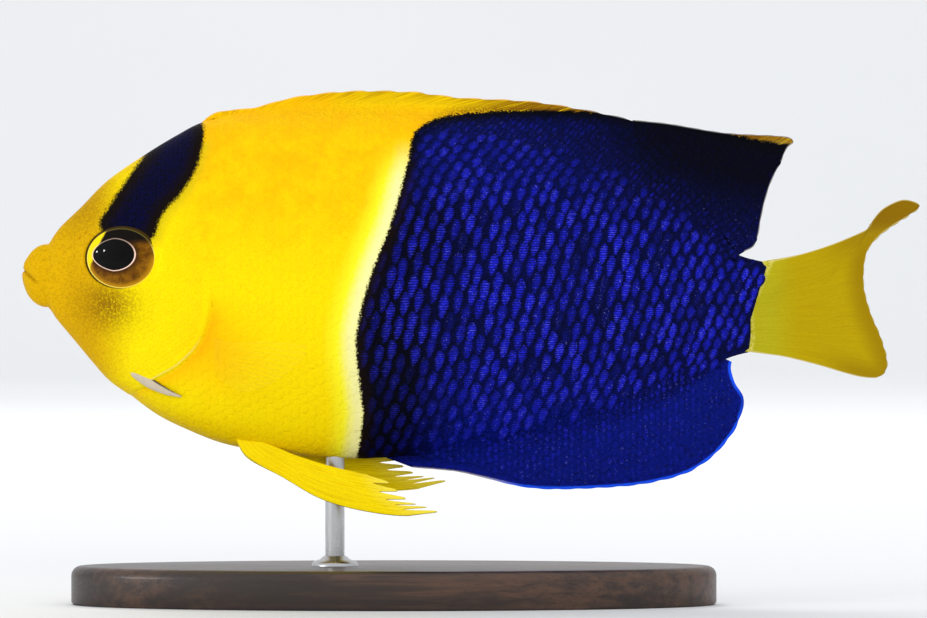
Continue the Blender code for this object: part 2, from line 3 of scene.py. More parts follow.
import bpy
import numpy as np
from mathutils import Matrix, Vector

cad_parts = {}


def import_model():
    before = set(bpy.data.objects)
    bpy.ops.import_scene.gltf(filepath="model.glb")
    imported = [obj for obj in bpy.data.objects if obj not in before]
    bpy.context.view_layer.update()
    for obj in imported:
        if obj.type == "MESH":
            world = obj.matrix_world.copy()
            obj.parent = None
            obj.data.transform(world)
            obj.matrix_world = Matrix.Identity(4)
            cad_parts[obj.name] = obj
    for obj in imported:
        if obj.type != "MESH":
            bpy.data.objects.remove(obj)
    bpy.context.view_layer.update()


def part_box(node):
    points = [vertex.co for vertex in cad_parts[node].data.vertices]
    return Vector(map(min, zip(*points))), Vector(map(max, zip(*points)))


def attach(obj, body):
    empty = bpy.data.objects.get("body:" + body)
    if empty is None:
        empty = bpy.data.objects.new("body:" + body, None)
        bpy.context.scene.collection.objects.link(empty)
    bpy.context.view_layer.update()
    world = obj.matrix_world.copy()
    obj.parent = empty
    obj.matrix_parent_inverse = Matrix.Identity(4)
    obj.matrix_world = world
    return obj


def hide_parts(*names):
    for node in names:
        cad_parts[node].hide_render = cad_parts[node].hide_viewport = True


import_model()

# The view: level with the fish and square to its left side, from a metre away. One pixel
# of the picture is 0.155 mm at the fish, whose snout is at pixel (22, 265).
MM = 0.001
PICTURE = (927, 618)
PIXEL = 0.155 * MM
SNOUT_PIXEL = (22, 265)
SNOUT_ABOVE_LIPS = 1.65 * MM     # height of the snout's tip above the middle of the lips
CAMERA_DISTANCE = 1.0

lips_low, lips_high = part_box("lips")
SNOUT = Vector((lips_low.x, 0, (lips_low.z + lips_high.z) / 2 + SNOUT_ABOVE_LIPS))

camera = bpy.data.objects.new("side_view", bpy.data.cameras.new("side_view"))
bpy.context.collection.objects.link(camera)
camera.data.sensor_width = 36
camera.data.lens = camera.data.sensor_width * CAMERA_DISTANCE / (PICTURE[0] * PIXEL)
camera.data.clip_end = 30
camera.location = (SNOUT.x + (PICTURE[0] / 2 - SNOUT_PIXEL[0]) * PIXEL, -CAMERA_DISTANCE,
                   SNOUT.z + (SNOUT_PIXEL[1] - PICTURE[1] / 2) * PIXEL)
camera.rotation_euler = (math.pi / 2, 0, 0)
bpy.context.scene.camera = camera

# The display stand's base: an oval of dark stained wood with a rounded upper edge, rubbed
# and lacquered. It is drawn finer than the solid, and lies in the same place.
BASE_SEGMENTS = 180
BASE_EDGE = 1.5 * MM         # radius of the upper edge
BASE_EASING = 0.4 * MM       # how much of the lower edge is taken off
CREASE = 50                  # degrees from which an edge is sharp
WOOD_DARK = (0.016, 0.007, 0.004)
WOOD_LIGHT = (0.075, 0.033, 0.016)


def surface_from(name, points, faces):
    """A named piece with a smooth surface, from its points and faces."""
    mesh = bpy.data.meshes.new(name)
    mesh.from_pydata([tuple(p) for p in points], [], faces)
    mesh.shade_smooth()
    piece = bpy.data.objects.new(name, mesh)
    bpy.context.collection.objects.link(piece)
    return piece


def ring_faces(rings, sides):
    """Four-sided faces between neighbouring rings of points."""
    faces = []
    for start in range(0, (rings - 1) * sides, sides):
        for k in range(sides):
            m = (k + 1) % sides
            faces.append((start + k, start + m, start + sides + m, start + sides + k))
    return faces


def end_faces(rings, sides):
    """The two faces that close a stack of rings."""
    last = (rings - 1) * sides
    return [tuple(range(sides - 1, -1, -1)), tuple(range(last, last + sides))]


def turned(name, profile, stretch, centre, segments):
    """A closed piece turned from a profile of (radius, height), stretched to an oval."""
    points = []
    for radius, height in profile:
        for angle in np.linspace(0, 2 * math.pi, segments, endpoint=False):
            points.append((centre[0] + (stretch[0] + radius) * math.cos(angle),
                           centre[1] + (stretch[1] + radius) * math.sin(angle), height))
    faces = ring_faces(len(profile), segments) + end_faces(len(profile), segments)
    piece = surface_from(name, points, faces)
    piece.data.set_sharp_from_angle(angle=math.radians(CREASE))
    return piece


def new_material(name):
    """A material with its nodes and its shader."""
    material = bpy.data.materials.new(name)
    material.use_nodes = True
    return material, material.node_tree, material.node_tree.nodes["Principled BSDF"]


def node(tree, kind, inputs, output=0, **settings):
    """Add a node, fill its inputs with numbers or links, and give one of its outputs."""
    made = tree.nodes.new(kind)
    for key, value in settings.items():
        setattr(made, key, value)
    for key, value in inputs.items():
        if isinstance(value, bpy.types.NodeSocket):
            tree.links.new(value, made.inputs[key])
        else:
            made.inputs[key].default_value = value
    return made.outputs[output]


def maths(tree, operation, first, *others):
    """An arithmetic operation on a value, with each of the others in turn."""
    for other in others or (0.0,):
        first = node(tree, "ShaderNodeMath", {0: first, 1: other}, operation=operation)
    return first


def product(tree, *values):
    """The values multiplied together."""
    return maths(tree, "MULTIPLY", *values)


def rising(tree, value, low, high, to_low=0.0, to_high=1.0):
    """Goes smoothly from to_low to to_high as the value passes from low to high."""
    inputs = {"Value": value, "From Min": low, "From Max": high, "To Min": to_low, "To Max": to_high}
    return node(tree, "ShaderNodeMapRange", inputs, interpolation_type="SMOOTHSTEP")


def mixed(tree, amount, first, second):
    """Two colours mixed by an amount."""
    colours = [value if isinstance(value, bpy.types.NodeSocket) else (*value, 1)
               for value in (first, second)]
    return node(tree, "ShaderNodeMix", {0: amount, 6: colours[0], 7: colours[1]}, 2, data_type="RGBA")


def painted(tree, colour, *coats):
    """A colour with others laid over it in turn, each given after how much of it shows."""
    for amount, coat in coats:
        colour = mixed(tree, amount, colour, coat)
    return colour


def noise(tree, place, size, detail=2.0, roughness=0.5, stretch=None):
    """Soft random values from 0 to 1, in spots of about the given size in millimetres."""
    if stretch:
        place = node(tree, "ShaderNodeVectorMath", {0: place, 1: stretch}, operation="MULTIPLY")
    inputs = {"Vector": place, "Scale": 1 / (size * MM), "Detail": detail, "Roughness": roughness}
    return node(tree, "ShaderNodeTexNoise", inputs)


def where(tree):
    """The place on the model, in metres."""
    return node(tree, "ShaderNodeTexCoord", {}, 3)


def bump(tree, shader, height, distance):
    """Fine relief on a shader, where the height is in units of the distance in millimetres."""
    inputs = {"Height": height, "Distance": distance * MM, "Strength": 1.0}
    tree.links.new(node(tree, "ShaderNodeBump", inputs), shader.inputs["Normal"])


base_low, base_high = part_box("stand_base")
base_centre = (base_low + base_high) / 2
base_half = ((base_high.x - base_low.x) / 2, (base_high.y - base_low.y) / 2)
profile = [(-BASE_EASING, base_low.z), (0, base_low.z + BASE_EASING)]
for a in np.linspace(0, math.pi / 2, 7):
    profile.append((BASE_EDGE * (math.cos(a) - 1), base_high.z - BASE_EDGE * (1 - math.sin(a))))
stand_base = turned("display_base", profile, base_half, base_centre, BASE_SEGMENTS)
wood, tree, shader = new_material("stained_wood")
place = where(tree)
grain = noise(tree, place, 1.1, 4, 0.6, (0.035, 1, 1))
pores = noise(tree, place, 0.28, 2, 0.6, (0.05, 1, 1))
figure = noise(tree, place, 9, 2, 0.5, (0.2, 1, 1))
tone = product(tree, grain, rising(tree, figure, 0.3, 0.7, 0.55, 1.2))
colour = painted(tree, WOOD_DARK, (rising(tree, tone, 0.25, 0.7), WOOD_LIGHT),
                 (rising(tree, pores, 0.55, 0.68, 0, 0.6), WOOD_DARK))
tree.links.new(colour, shader.inputs["Base Color"])
tree.links.new(rising(tree, pores, 0.3, 0.7, 0.42, 0.55), shader.inputs["Roughness"])
shader.inputs["Coat Weight"].default_value = 0.35
shader.inputs["Coat Roughness"].default_value = 0.25
bump(tree, shader, maths(tree, "ADD", grain, pores), 0.03)
stand_base.data.materials.append(wood)
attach(stand_base, "root")
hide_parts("stand_base")

# The stand's rod: 3 mm drawn steel, brushed along its length, glued into the base through
# a low turned collar, with its upper end let into the belly.
ROD_SEGMENTS = 64
ROD_SUNK = 2.0 * MM
COLLAR_SUNK = 0.2            # millimetres of the collar that are let into the base
COLLAR_PROFILE = [(3.6, 0.0), (3.6, 0.5), (3.3, 0.9), (2.3, 1.2), (1.9, 1.6), (1.55, 1.8)]
STEEL_DARK = (0.42, 0.42, 0.43)
STEEL_LIGHT = (0.66, 0.66, 0.65)

rod_low, rod_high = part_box("stand_rod")
rod_centre = (rod_low + rod_high) / 2
rod_radius = (rod_high.x - rod_low.x) / 2
rod_profile = [(rod_radius, base_high.z - ROD_SUNK), (rod_radius, rod_high.z + ROD_SUNK)]
rod = turned("stand_rod_steel", rod_profile, (0, 0), rod_centre, ROD_SEGMENTS)
collar_profile = [(r * MM, base_high.z + (h - COLLAR_SUNK) * MM) for r, h in COLLAR_PROFILE]
collar = turned("stand_rod_collar", collar_profile, (0, 0), rod_centre, ROD_SEGMENTS)
steel, tree, shader = new_material("brushed_steel")
place = where(tree)
brushing = noise(tree, place, 0.12, 3, 0.7, (1, 1, 0.02))
smears = noise(tree, place, 3.0, 2)
tree.links.new(mixed(tree, brushing, STEEL_DARK, STEEL_LIGHT), shader.inputs["Base Color"])
tree.links.new(rising(tree, smears, 0.2, 0.8, 0.22, 0.34), shader.inputs["Roughness"])
shader.inputs["Metallic"].default_value = 1.0
shader.inputs["Anisotropic"].default_value = 0.5
bump(tree, shader, brushing, 0.01)
for piece in (rod, collar):
    piece.data.materials.append(steel)
    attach(piece, "root")
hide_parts("stand_rod")

# The body's shape, as the solids have it. x counts back from the snout's tip and z up from
# it, in millimetres; the other numbers are the body's half widths and how full it is.
BACK = [(4.0, 3.4), (5.9, 6.0), (9.0, 9.0), (13.2, 13.2), (18.8, 17.1), (23.7, 20.1),
        (28.1, 22.3), (33.8, 23.3), (43.1, 24.0), (52.4, 24.3), (61.7, 24.3), (71.0, 23.6),
        (80.3, 22.2), (89.6, 20.0), (96.6, 16.9), (102.8, 12.1), (107.4, 6.4),
        (110.5, 2.0), (118.0, 0.0)]
BELLY = [(4.0, -6.7), (5.4, -8.6), (7.9, -11.6), (12.1, -16.5), (15.7, -19.4),
         (20.9, -23.3), (26.4, -26.0), (31.6, -27.9), (37.7, -29.0), (44.6, -29.8),
         (53.2, -30.1), (63.2, -29.4), (74.1, -28.1), (84.9, -25.7), (95.8, -22.2),
         (103.5, -18.4), (109.4, -14.6), (118.0, -12.6)]
HALF_WIDTH = [(4.0, 2.9), (8.0, 3.9), (15.0, 6.6), (22.0, 8.8), (29.0, 10.3), (38.0, 11.0),
              (50.0, 10.6), (65.0, 9.2), (80.0, 7.1), (95.0, 4.6), (106.0, 2.7),
              (115.0, 1.9)]
EDGE_HALF = [(4.0, 0.35), (26.0, 0.4), (34.0, 0.7), (100.0, 0.7), (115.0, 0.5)]
ROUNDNESS = [(4.0, 0.5), (26.0, 0.52), (50.0, 0.62), (95.0, 0.8), (115.0, 0.6)]
SNOUT_DOME = 4.0             # length of the rounded tip
SKIN_DEPTH = 0.15            # how far the skin lies inside the solids


def smooth(points, steps=10):
    """A smooth curve (Catmull-Rom) through the points."""
    p = np.array(points, float)
    p = np.vstack([2 * p[0] - p[1], p, 2 * p[-1] - p[-2]])
    t = np.linspace(0, 1, steps, endpoint=False)[:, None]
    spans = []
    for a, b, c, d in zip(p[:-3], p[1:-2], p[2:-1], p[3:]):
        cubic = (3 * b - a - 3 * c + d) * t ** 3
        spans.append(0.5 * (2 * b + (c - a) * t + (2 * a - 5 * b + 4 * c - d) * t ** 2 + cubic))
    return np.vstack(spans + [p[-2:-1]])


def ease(value, start, end):
    """0 before start, 1 after end, and smooth between them."""
    t = np.clip((np.asarray(value) - start) / (end - start), 0, 1)
    return t * t * (3 - 2 * t)


def curve_at(curve, x):
    """A curve's height at x."""
    return np.interp(x, *np.array(curve).T)


BACK_CURVE = smooth(BACK)
BELLY_CURVE = smooth(BELLY)
WIDTH_CURVE = smooth(HALF_WIDTH)


def rounded_tip(x):
    """The share of its full size that the body has at x, from 0 at the snout's tip to 1."""
    return np.sqrt(1 - np.clip(1 - np.asarray(x) / SNOUT_DOME, 0, 1) ** 2)


def heights(x):
    """Middle height and half the depth of the body."""
    top, bottom = curve_at(BACK_CURVE, x), curve_at(BELLY_CURVE, x)
    return (top + bottom) / 2, (top - bottom) / 2 * rounded_tip(x)


def flank(x, angle):
    """Points of the bare body's right side, where the angle goes from -90 to 90 degrees."""
    middle, depth = heights(x)
    edge = curve_at(EDGE_HALF, x) * rounded_tip(x)
    widest = curve_at(WIDTH_CURVE, x) * rounded_tip(x)
    y = edge + (widest - edge) * np.maximum(np.cos(angle), 0) ** (2 * curve_at(ROUNDNESS, x))
    return np.stack([x + 0 * y, y, middle + depth * np.sin(angle)], axis=-1)


def flank_at(x, z):
    """The point of the bare body's right side at x and z."""
    middle, depth = heights(x)
    return flank(x, np.arcsin(np.clip((z - middle) / depth, -1, 1)))


def line_distance(line, x, z):
    """Distance of each point from a line of points."""
    nearest = np.full(np.shape(x), np.inf)
    for (ax, az), (bx, bz) in zip(line[:-1], line[1:]):
        dx, dz = bx - ax, bz - az
        t = np.clip(((x - ax) * dx + (z - az) * dz) / (dx * dx + dz * dz), 0, 1)
        nearest = np.minimum(nearest, np.hypot(x - ax - t * dx, z - az - t * dz))
    return nearest


def inside_distance(outline, x, z):
    """Distance from a closed outline, positive inside it and negative outside."""
    within = np.zeros(np.shape(x), bool)
    closed = np.vstack([outline, outline[:1]])
    for (ax, az), (bx, bz) in zip(closed[:-1], closed[1:]):
        crosses = (az > z) != (bz > z)
        at = ax + (z - az) / (bz - az if bz != az else 1) * (bx - ax)
        within ^= crosses & (x < at)
    return np.where(within, 1, -1) * line_distance(closed, x, z)


# The face's relief: the lips and the slit of the mouth, two nostrils a side, the ring of
# skin round each eye and the pocket that it sits in, and the gill cover's free edge.
MOUTH = smooth([(-1.0, -0.4), (0.4, -1.0), (1.5, -2.0), (2.6, -2.9)])
MOUTH_DEPTH = 0.32
LIP_ROLL = 0.12
LIP_CREASE = smooth([(4.3, 3.6), (4.5, 1.0), (4.2, -1.5), (3.6, -3.4), (4.1, -5.4), (4.6, -7.4)])
LIP_CREASE_DEPTH = 0.08
NOSTRILS = [(9.0, 4.2), (10.0, 5.0)]
NOSTRIL_RIM = 0.05
NOSTRIL_DEPTH = 0.35
EYE_CENTRE = (15.4, 1.0)
ORBIT = (5.5, 4.75)          # half its length and height
ORBIT_SWELL = 0.16
ORBIT_RIM = 0.16
ORBIT_GROOVE = 0.07
ORBIT_DEPTH = 1.6
GILL_LINE = smooth([(12.0, -22.0), (16.4, -20.0), (20.6, -17.5), (24.8, -15.0), (28.2, -10.9),
                    (29.5, -3.9), (28.7, 4.7), (27.6, 14.0), (27.1, 22.0)])
GILL_EDGE_LIFT = 0.42
GILL_GROOVE = 0.14
CHEEK_EDGE = smooth([(17.5, -15.6), (21.0, -12.5), (22.8, -8.0), (23.0, -2.0), (22.0, 3.5)])
CHEEK_SWELL = 0.1


def bell(distance, middle, width):
    """1 at the middle distance, falling to 0 on both sides of it."""
    return np.exp(-((distance - middle) / width) ** 2)


def eye_reach(x, z):
    """Distance from the eye's centre, where the orbit's edge is at 1."""
    return np.hypot((x - EYE_CENTRE[0]) / ORBIT[0], (z - EYE_CENTRE[1]) / ORBIT[1])


def gill_cover(x, z):
    """Distance from the gill cover's edge, whether behind it, and how free the edge is."""
    behind = x > np.interp(z, GILL_LINE[:, 1], GILL_LINE[:, 0])
    free = ease(z, -21.5, -17.5) * (1 - ease(z, -9.0, 1.0))
    return line_distance(GILL_LINE, x, z), behind, free


def swellings(x, z, all_behind=None):
    """The face's broad forms, which its scales follow, in millimetres.

    A scale's root and tip count as behind the gill cover's edge when its middle does.
    """
    edge, behind, free = gill_cover(x, z)
    cover = 1 - np.where(behind, ease(edge, 0, 0.6), ease(edge, 0, 7))
    if all_behind is not None:
        cover = np.where(all_behind, 0, np.where(behind, 1, cover))
    out = GILL_EDGE_LIFT * free * cover + ORBIT_SWELL * bell(eye_reach(x, z), 1.1, 0.2)
    return out + CHEEK_SWELL * bell(line_distance(CHEEK_EDGE, x, z), 0, 1.2)


def relief(x, z):
    """How far the skin stands out of the bare body, in millimetres."""
    slit = line_distance(MOUTH, x, z)
    above = z > np.interp(x, MOUTH[:, 0], MOUTH[:, 1])
    roll = bell(slit, np.where(above, 1.1, 0.9), 0.75)
    out = swellings(x, z) + LIP_ROLL * roll * (1 - ease(x, 1.5, 4.5))
    out -= MOUTH_DEPTH * bell(slit, 0, 0.17) * (1 - ease(x, 2.1, 2.9))
    out -= LIP_CREASE_DEPTH * bell(line_distance(LIP_CREASE, x, z), 0, 0.5)
    for nostril_x, nostril_z in NOSTRILS:
        off = np.hypot(x - nostril_x, z - nostril_z)
        out += NOSTRIL_RIM * bell(off, 0.45, 0.15) - NOSTRIL_DEPTH * np.exp(-(off / 0.22) ** 4)
    eye = eye_reach(x, z)
    out += ORBIT_RIM * bell(eye, 1.035, 0.035) - ORBIT_GROOVE * bell(eye, 1.11, 0.025)
    out -= ORBIT_DEPTH * (1 - ease(eye, 0.86, 1.01))
    edge, behind, free = gill_cover(x, z)
    return out - GILL_GROOVE * free * np.where(behind, bell(edge, 0.75, 0.35), 0)


def skin_points(x, angle):
    """Points of the finished skin on the right side."""
    bare = flank(x, angle)
    step = 0.02
    by_x = flank(x + step, angle) - flank(x - step, angle)
    above, below = np.minimum(angle + step, math.pi / 2), np.maximum(angle - step, -math.pi / 2)
    normal = np.cross(flank(x, above) - flank(x, below), by_x)
    normal /= np.maximum(np.linalg.norm(normal, axis=-1, keepdims=True), 1e-9)
    return bare + normal * (relief(bare[..., 0], bare[..., 2]) - SKIN_DEPTH)[..., None]


# The skin itself: one seamless surface from the lips to the tail, close-grained and moist.
# Its mesh is finest on the face.
TAIL_LINE = smooth([(112.5, -13.3), (112.8, -10.7), (112.8, -7.4), (113.6, -4.7), (114.7, -1.6),
                    (115.5, 0.5)])
FACE_END = 30.0
STEM_START = 104.0
SKIN_END = 118.0
snout_columns = SNOUT_DOME * (1 - np.cos(np.linspace(0.02, math.pi / 2, 36)[:-1]))
columns = np.concatenate([snout_columns, np.arange(SNOUT_DOME, 8.0, 0.25), np.arange(8.0, FACE_END, 0.2),
                          np.linspace(FACE_END, SKIN_END, 116)])
angles = np.radians(np.concatenate([np.linspace(-90, -20, 36)[:-1], np.linspace(-20, 42, 90)[:-1],
                                    np.linspace(42, 90, 26)]))


def world(points, side=1):
    """Points of the fish's own frame, in millimetres, as places in metres."""
    placed = np.array(points) * MM
    placed[..., 1] *= side
    return placed + np.array(SNOUT)


def grid_faces(columns, rows, start=0):
    """Four-sided faces between neighbours of a grid, counted along its rows."""
    i, j = np.meshgrid(np.arange(columns - 1), np.arange(rows - 1), indexing="ij")
    a = start + (i * rows + j).ravel()
    return np.column_stack([a, a + rows, a + rows + 1, a + 1]).tolist()


def turned_over(faces):
    """The same faces, seen from their other side."""
    return [face[::-1] for face in faces]


def write_attribute(piece, name, *values):
    """Store three numbers for each point, which the materials read."""
    kept = piece.data.attributes.new(name, "FLOAT_VECTOR", "POINT")
    table = np.stack(np.broadcast_arrays(*values), axis=-1).astype(np.float32)
    kept.data.foreach_set("vector", table.ravel())


tail_x = np.interp(np.sin(angles), np.linspace(-1, 1, len(TAIL_LINE)), TAIL_LINE[:, 0]) + 0.1
stem = ease(columns, STEM_START, SKIN_END)[:, None]
grid_x = columns[:, None] - (SKIN_END - tail_x)[None, :] * stem ** 2
half = skin_points(grid_x, np.broadcast_to(angles, grid_x.shape))
points = np.concatenate([world(half, -1).reshape(-1, 3), world(half, 1).reshape(-1, 3)])
rows = len(angles)
count = len(columns) * rows
faces = grid_faces(len(columns), rows) + turned_over(grid_faces(len(columns), rows, count))
for low in range(0, count - rows, rows):
    high = low + rows - 1
    faces.append((low + rows, low, count + low, count + low + rows))
    faces.append((high, high + rows, count + high + rows, count + high))
front_rim = list(range(rows))
rear_rim = list(range(count - rows, count))
faces.append(front_rim + [count + j for j in front_rim[::-1]])
faces.append([count + j for j in rear_rim] + rear_rim[::-1])
skin = surface_from("fish_skin", points, faces)

# The markings, worked out once for the skin, its scales and the fins: the blue rear with
# its pale border, the navy band over the nape, and the warm tones of the yellow front, with
# painted shade in the mouth's slit, on the forehead, under the gill cover's edge and toward
# the outline, and a painted highlight along the gill cover's edge.
BLUE_EDGE = smooth([(51.9, -29.8), (52.5, -26.5), (52.9, -22.9), (52.4, -18.1), (51.9, -13.5),
                    (52.1, -9.6), (53.3, -4.5), (55.0, 0.5), (57.4, 6.8), (59.8, 15.5), (60.8, 20.3),
                    (64.8, 22.9), (71.5, 23.7), (77.7, 24.0), (85.4, 23.9), (89.6, 23.6), (95.8, 22.9),
                    (103.5, 21.9), (108.7, 20.7), (114.4, 19.4), (119.0, 18.7), (124.0, 18.0)], 5)
BLUE_AREA = np.vstack([(51.9, -60.0), BLUE_EDGE, (160.0, 18.0), (160.0, -60.0)])
NAPE_AREA = smooth([(19.6, 18.6), (18.8, 16.9), (15.6, 12.2), (13.6, 9.0), (12.2, 6.6), (13.2, 4.6),
                    (17.0, 3.0), (20.6, 4.0), (21.5, 6.4), (22.7, 8.5), (25.1, 11.1), (27.2, 14.6),
                    (28.1, 17.7), (28.4, 20.9), (27.9, 22.3), (27.0, 24.0), (23.0, 24.5)], 5)
SMUDGE = ((13.4, -6.3), (4.4, 3.6))     # centre and reach of the dusky patch under the eye
PECTORAL_GLOW = ((31.5, -13.5), (5.0, 6.0))
DARK_CORNER = (119.0, 22.0)              # the soft dorsal fin's upper corner


def patch(spot, x, z):
    """1 at the middle of a soft oval patch, falling to 0 round it."""
    (cx, cz), (rx, rz) = spot
    return np.exp(-((x - cx) / rx) ** 2 - ((z - cz) / rz) ** 2)


def paint(piece, x, z):
    """Store the markings of each point: edge distances in millimetres, and tones, painted shade and a
    painted highlight among them.
    """
    blue = inside_distance(BLUE_AREA, x, z)
    over_back = z - curve_at(BACK_CURVE, x)
    # painted shade: darker in the mouth's slit and over the forehead; the other terms are a darker tint of
    # the dorsal fin and of the yellow by the blue's upper border
    painted_shade_and_tint = 0.6 * bell(line_distance(MOUTH, x, z), 0, 0.25) * (1 - ease(x, 1.9, 2.9))
    painted_shade_and_tint += 0.5 * (1 - ease(x, 9.0, 17.0)) * ease(z, 2.0, 9.0)
    painted_shade_and_tint += ease(over_back, 0.0, 3.0) * (0.5 * ease(x, 40.0, 54.0) + 0.6 * ease(x, 60.0, 78.0))
    painted_shade_and_tint += 0.9 * ease(blue, -1.8, -0.2) * ease(x, 60.0, 70.0) + 0.8 * ease(x, 102.0, 112.0) * (z > 16)
    write_attribute(piece, "marks", blue, inside_distance(NAPE_AREA, x, z), patch(SMUDGE, x, z) + painted_shade_and_tint)
    middle, depth = heights(x)
    toward_edge = ease(np.abs(z - middle) / depth, 0.8, 1.0)
    # painted shade: besides the face's own gold, the yellow turns gold toward the back's and belly's
    # outline, where the light falls off
    face = np.maximum(1 - ease(x, 10.0, 18.5), 0.45 * toward_edge)
    warm = ease(x, 20.0, 30.0) * (0.16 + 0.62 * ease(z, -6.0, 14.0))
    warm *= 1 - 0.7 * ease(over_back, -1.0, 1.0) * ease(x, 42.0, 56.0)
    edge, behind, free = gill_cover(x, z)
    low_part = free * (1 - ease(z, -9.0, -3.0))
    # painted shade: orange under the gill cover's free lower edge
    glow = 0.85 * low_part * np.where(behind, ease(edge, 0.3, 0.8) * np.exp(-edge / 1.8), 0)
    # painted highlight: the stretch of the gill cover's lower edge that gets a pale line
    gill_highlight_part = ease(z, -19.0, -18.0) * (1 - ease(z, -13.5, -11.0))
    write_attribute(piece, "gill", np.where(behind, edge, -edge), gill_highlight_part, 0.0)
    write_attribute(piece, "tones", face, warm, glow + 0.3 * patch(PECTORAL_GLOW, x, z))
    below = curve_at(BELLY_CURVE, x) + 1.0 - z
    low = np.maximum((1 - ease(z, -33.0, -13.0)) * ease(blue, 3.0, 17.0), ease(below, 0.0, 2.5))
    corner = 1 - ease(np.hypot(0.6 * (x - DARK_CORNER[0]), 1.3 * (z - DARK_CORNER[1])), 4.0, 31.5)
    front = 1 - ease(blue, 2.0, 19.0)
    high = ease(z, 6.0, 17.0) * (1 - corner) * (1 - ease(x, 88.0, 102.0))
    low_front = front * (1 - ease(z, -22.0, -4.0))
    ground = 0.24 + 0.86 * low + 0.36 * high - 0.06 * corner - 0.2 * front - 0.2 * low_front
    shine = 0.92 - 0.24 * low - 0.88 * corner - 0.34 * front - 0.42 * low_front
    write_attribute(piece, "blues", np.clip(ground, 0.02, 1.1), np.clip(shine, 0.05, 1),
                    1 - ease(z, 12.0, 20.0))


flat = np.concatenate([half, half]).reshape(-1, 3)
paint(skin, flat[:, 0], flat[:, 2])

# The skin's finish, which its scales share: yellow of several warmths, cream along the
# border, brown-black where the blue begins, and navy scales with bright blue middles. On
# the face it holds painted shade, and a painted highlight by the gill cover's edge.
YELLOW = (0.95, 0.76, 0.001)
GOLD = (0.70, 0.40, 0.001)
BRONZE = (0.42, 0.22, 0.001)
OLIVE_GOLD = (0.60, 0.45, 0.006)
ORANGE_YELLOW = (0.94, 0.47, 0.001)
ORANGE = (0.95, 0.32, 0.001)
LEMON = (0.95, 0.88, 0.02)
GILL_HIGHLIGHT_LEMON = (0.93, 0.82, 0.28)
CREAM = (0.88, 0.84, 0.34)
SMUDGE_AND_SHADE_BROWN = (0.15, 0.055, 0.002)
BROWN_BLACK = (0.006, 0.003, 0.002)
NAPE_NAVY = (0.002, 0.002, 0.046)
DEEP_NAVY = (0.0012, 0.0014, 0.003)
ROYAL_BLUE = (0.002, 0.007, 0.150)
BRIGHT_BLUE = (0.011, 0.014, 0.56)
FLESH_INDEX = 1.11           # how strongly wet skin and fins reflect
FLESH_ROUGHNESS = 0.42


def attribute(tree, name):
    """The three stored numbers of a point."""
    vector = node(tree, "ShaderNodeAttribute", {}, 1, attribute_name=name)
    return node(tree, "ShaderNodeSeparateXYZ", {0: vector}).node.outputs


def blue_ground(tree, place):
    """The blue between the spots, from near black to royal blue."""
    mottling = rising(tree, noise(tree, place, 0.4, 3, 0.7), 0.3, 0.7, 0.35, 1.6)
    return mixed(tree, product(tree, attribute(tree, "blues")[0], mottling), DEEP_NAVY, ROYAL_BLUE)


def coat_colour(tree, place, blue_colour, grains=None):
    """The fish's colour anywhere, with the given colour in its blue rear and its own grain, and painted
    shade and a painted highlight on the face.
    """
    blue, nape, smudge_and_shade = attribute(tree, "marks")
    face, warm, glow = attribute(tree, "tones")
    off_gill, gill_highlight_part, _ = attribute(tree, "gill")
    cream = attribute(tree, "blues")[2]
    if grains is None:
        grains = noise(tree, place, 0.32, 3, 0.65)
    clouds = noise(tree, place, 3.2, 3, 0.6)
    wander = product(tree, maths(tree, "SUBTRACT", grains, 0.5), 1.5)
    edge = maths(tree, "ADD", blue, wander)
    warmth = product(tree, warm, rising(tree, clouds, 0.3, 0.7, 0.75, 1.2))
    # painted highlight: a pale line along the gill cover's lower edge
    gill_edge_highlight = rising(tree, maths(tree, "ABSOLUTE", off_gill), 0.2, 0.04, 0, 0.36)
    near_band = product(tree, rising(tree, nape, -2.2, -0.2, 0, 0.65), rising(tree, face, 0.25, 0.0))
    navy = mixed(tree, rising(tree, grains, 0.35, 0.7), DEEP_NAVY, NAPE_NAVY)
    band = mixed(tree, rising(tree, nape, 0.6, 3.0), BROWN_BLACK, navy)
    border = mixed(tree, cream, DEEP_NAVY, BROWN_BLACK)
    rear = mixed(tree, rising(tree, edge, 0.2, 2.6), border, blue_colour)
    # painted shade: orange under the gill cover's edge, and brown in the mouth's slit and over the forehead
    # along with the smudge; the face's gold also darkens the outline
    return painted(
        tree, YELLOW, (face, GOLD), (warmth, ORANGE_YELLOW), (glow, ORANGE),
        (product(tree, gill_edge_highlight, gill_highlight_part), GILL_HIGHLIGHT_LEMON),
        (product(tree, smudge_and_shade, rising(tree, grains, 0.25, 0.62)), SMUDGE_AND_SHADE_BROWN),
        (rising(tree, grains, 0.4, 0.75, 0, 0.3), GOLD),
        (product(tree, face, rising(tree, grains, 0.42, 0.7, 0, 0.55)), BRONZE),
        (near_band, OLIVE_GOLD),
        (product(tree, cream, rising(tree, edge, -5.6, -2.2, 0, 0.9)), LEMON),
        (product(tree, cream, rising(tree, edge, -3.0, -0.6)), CREAM),
        (rising(tree, maths(tree, "ADD", nape, wander), -0.35, 0.35), band),
        (rising(tree, edge, -0.2, 0.2), rear))


skin_finish, tree, shader = new_material("fish_skin")
place = where(tree)
tree.links.new(coat_colour(tree, place, blue_ground(tree, place)), shader.inputs["Base Color"])
shader.inputs["Roughness"].default_value = FLESH_ROUGHNESS
shader.inputs["IOR"].default_value = FLESH_INDEX
bump(tree, shader, noise(tree, place, 0.3, 3, 0.6), 0.07)
skin.data.materials.append(skin_finish)
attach(skin, "root")
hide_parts("lips", "head", "trunk_front", "trunk_rear", "tail_stem")

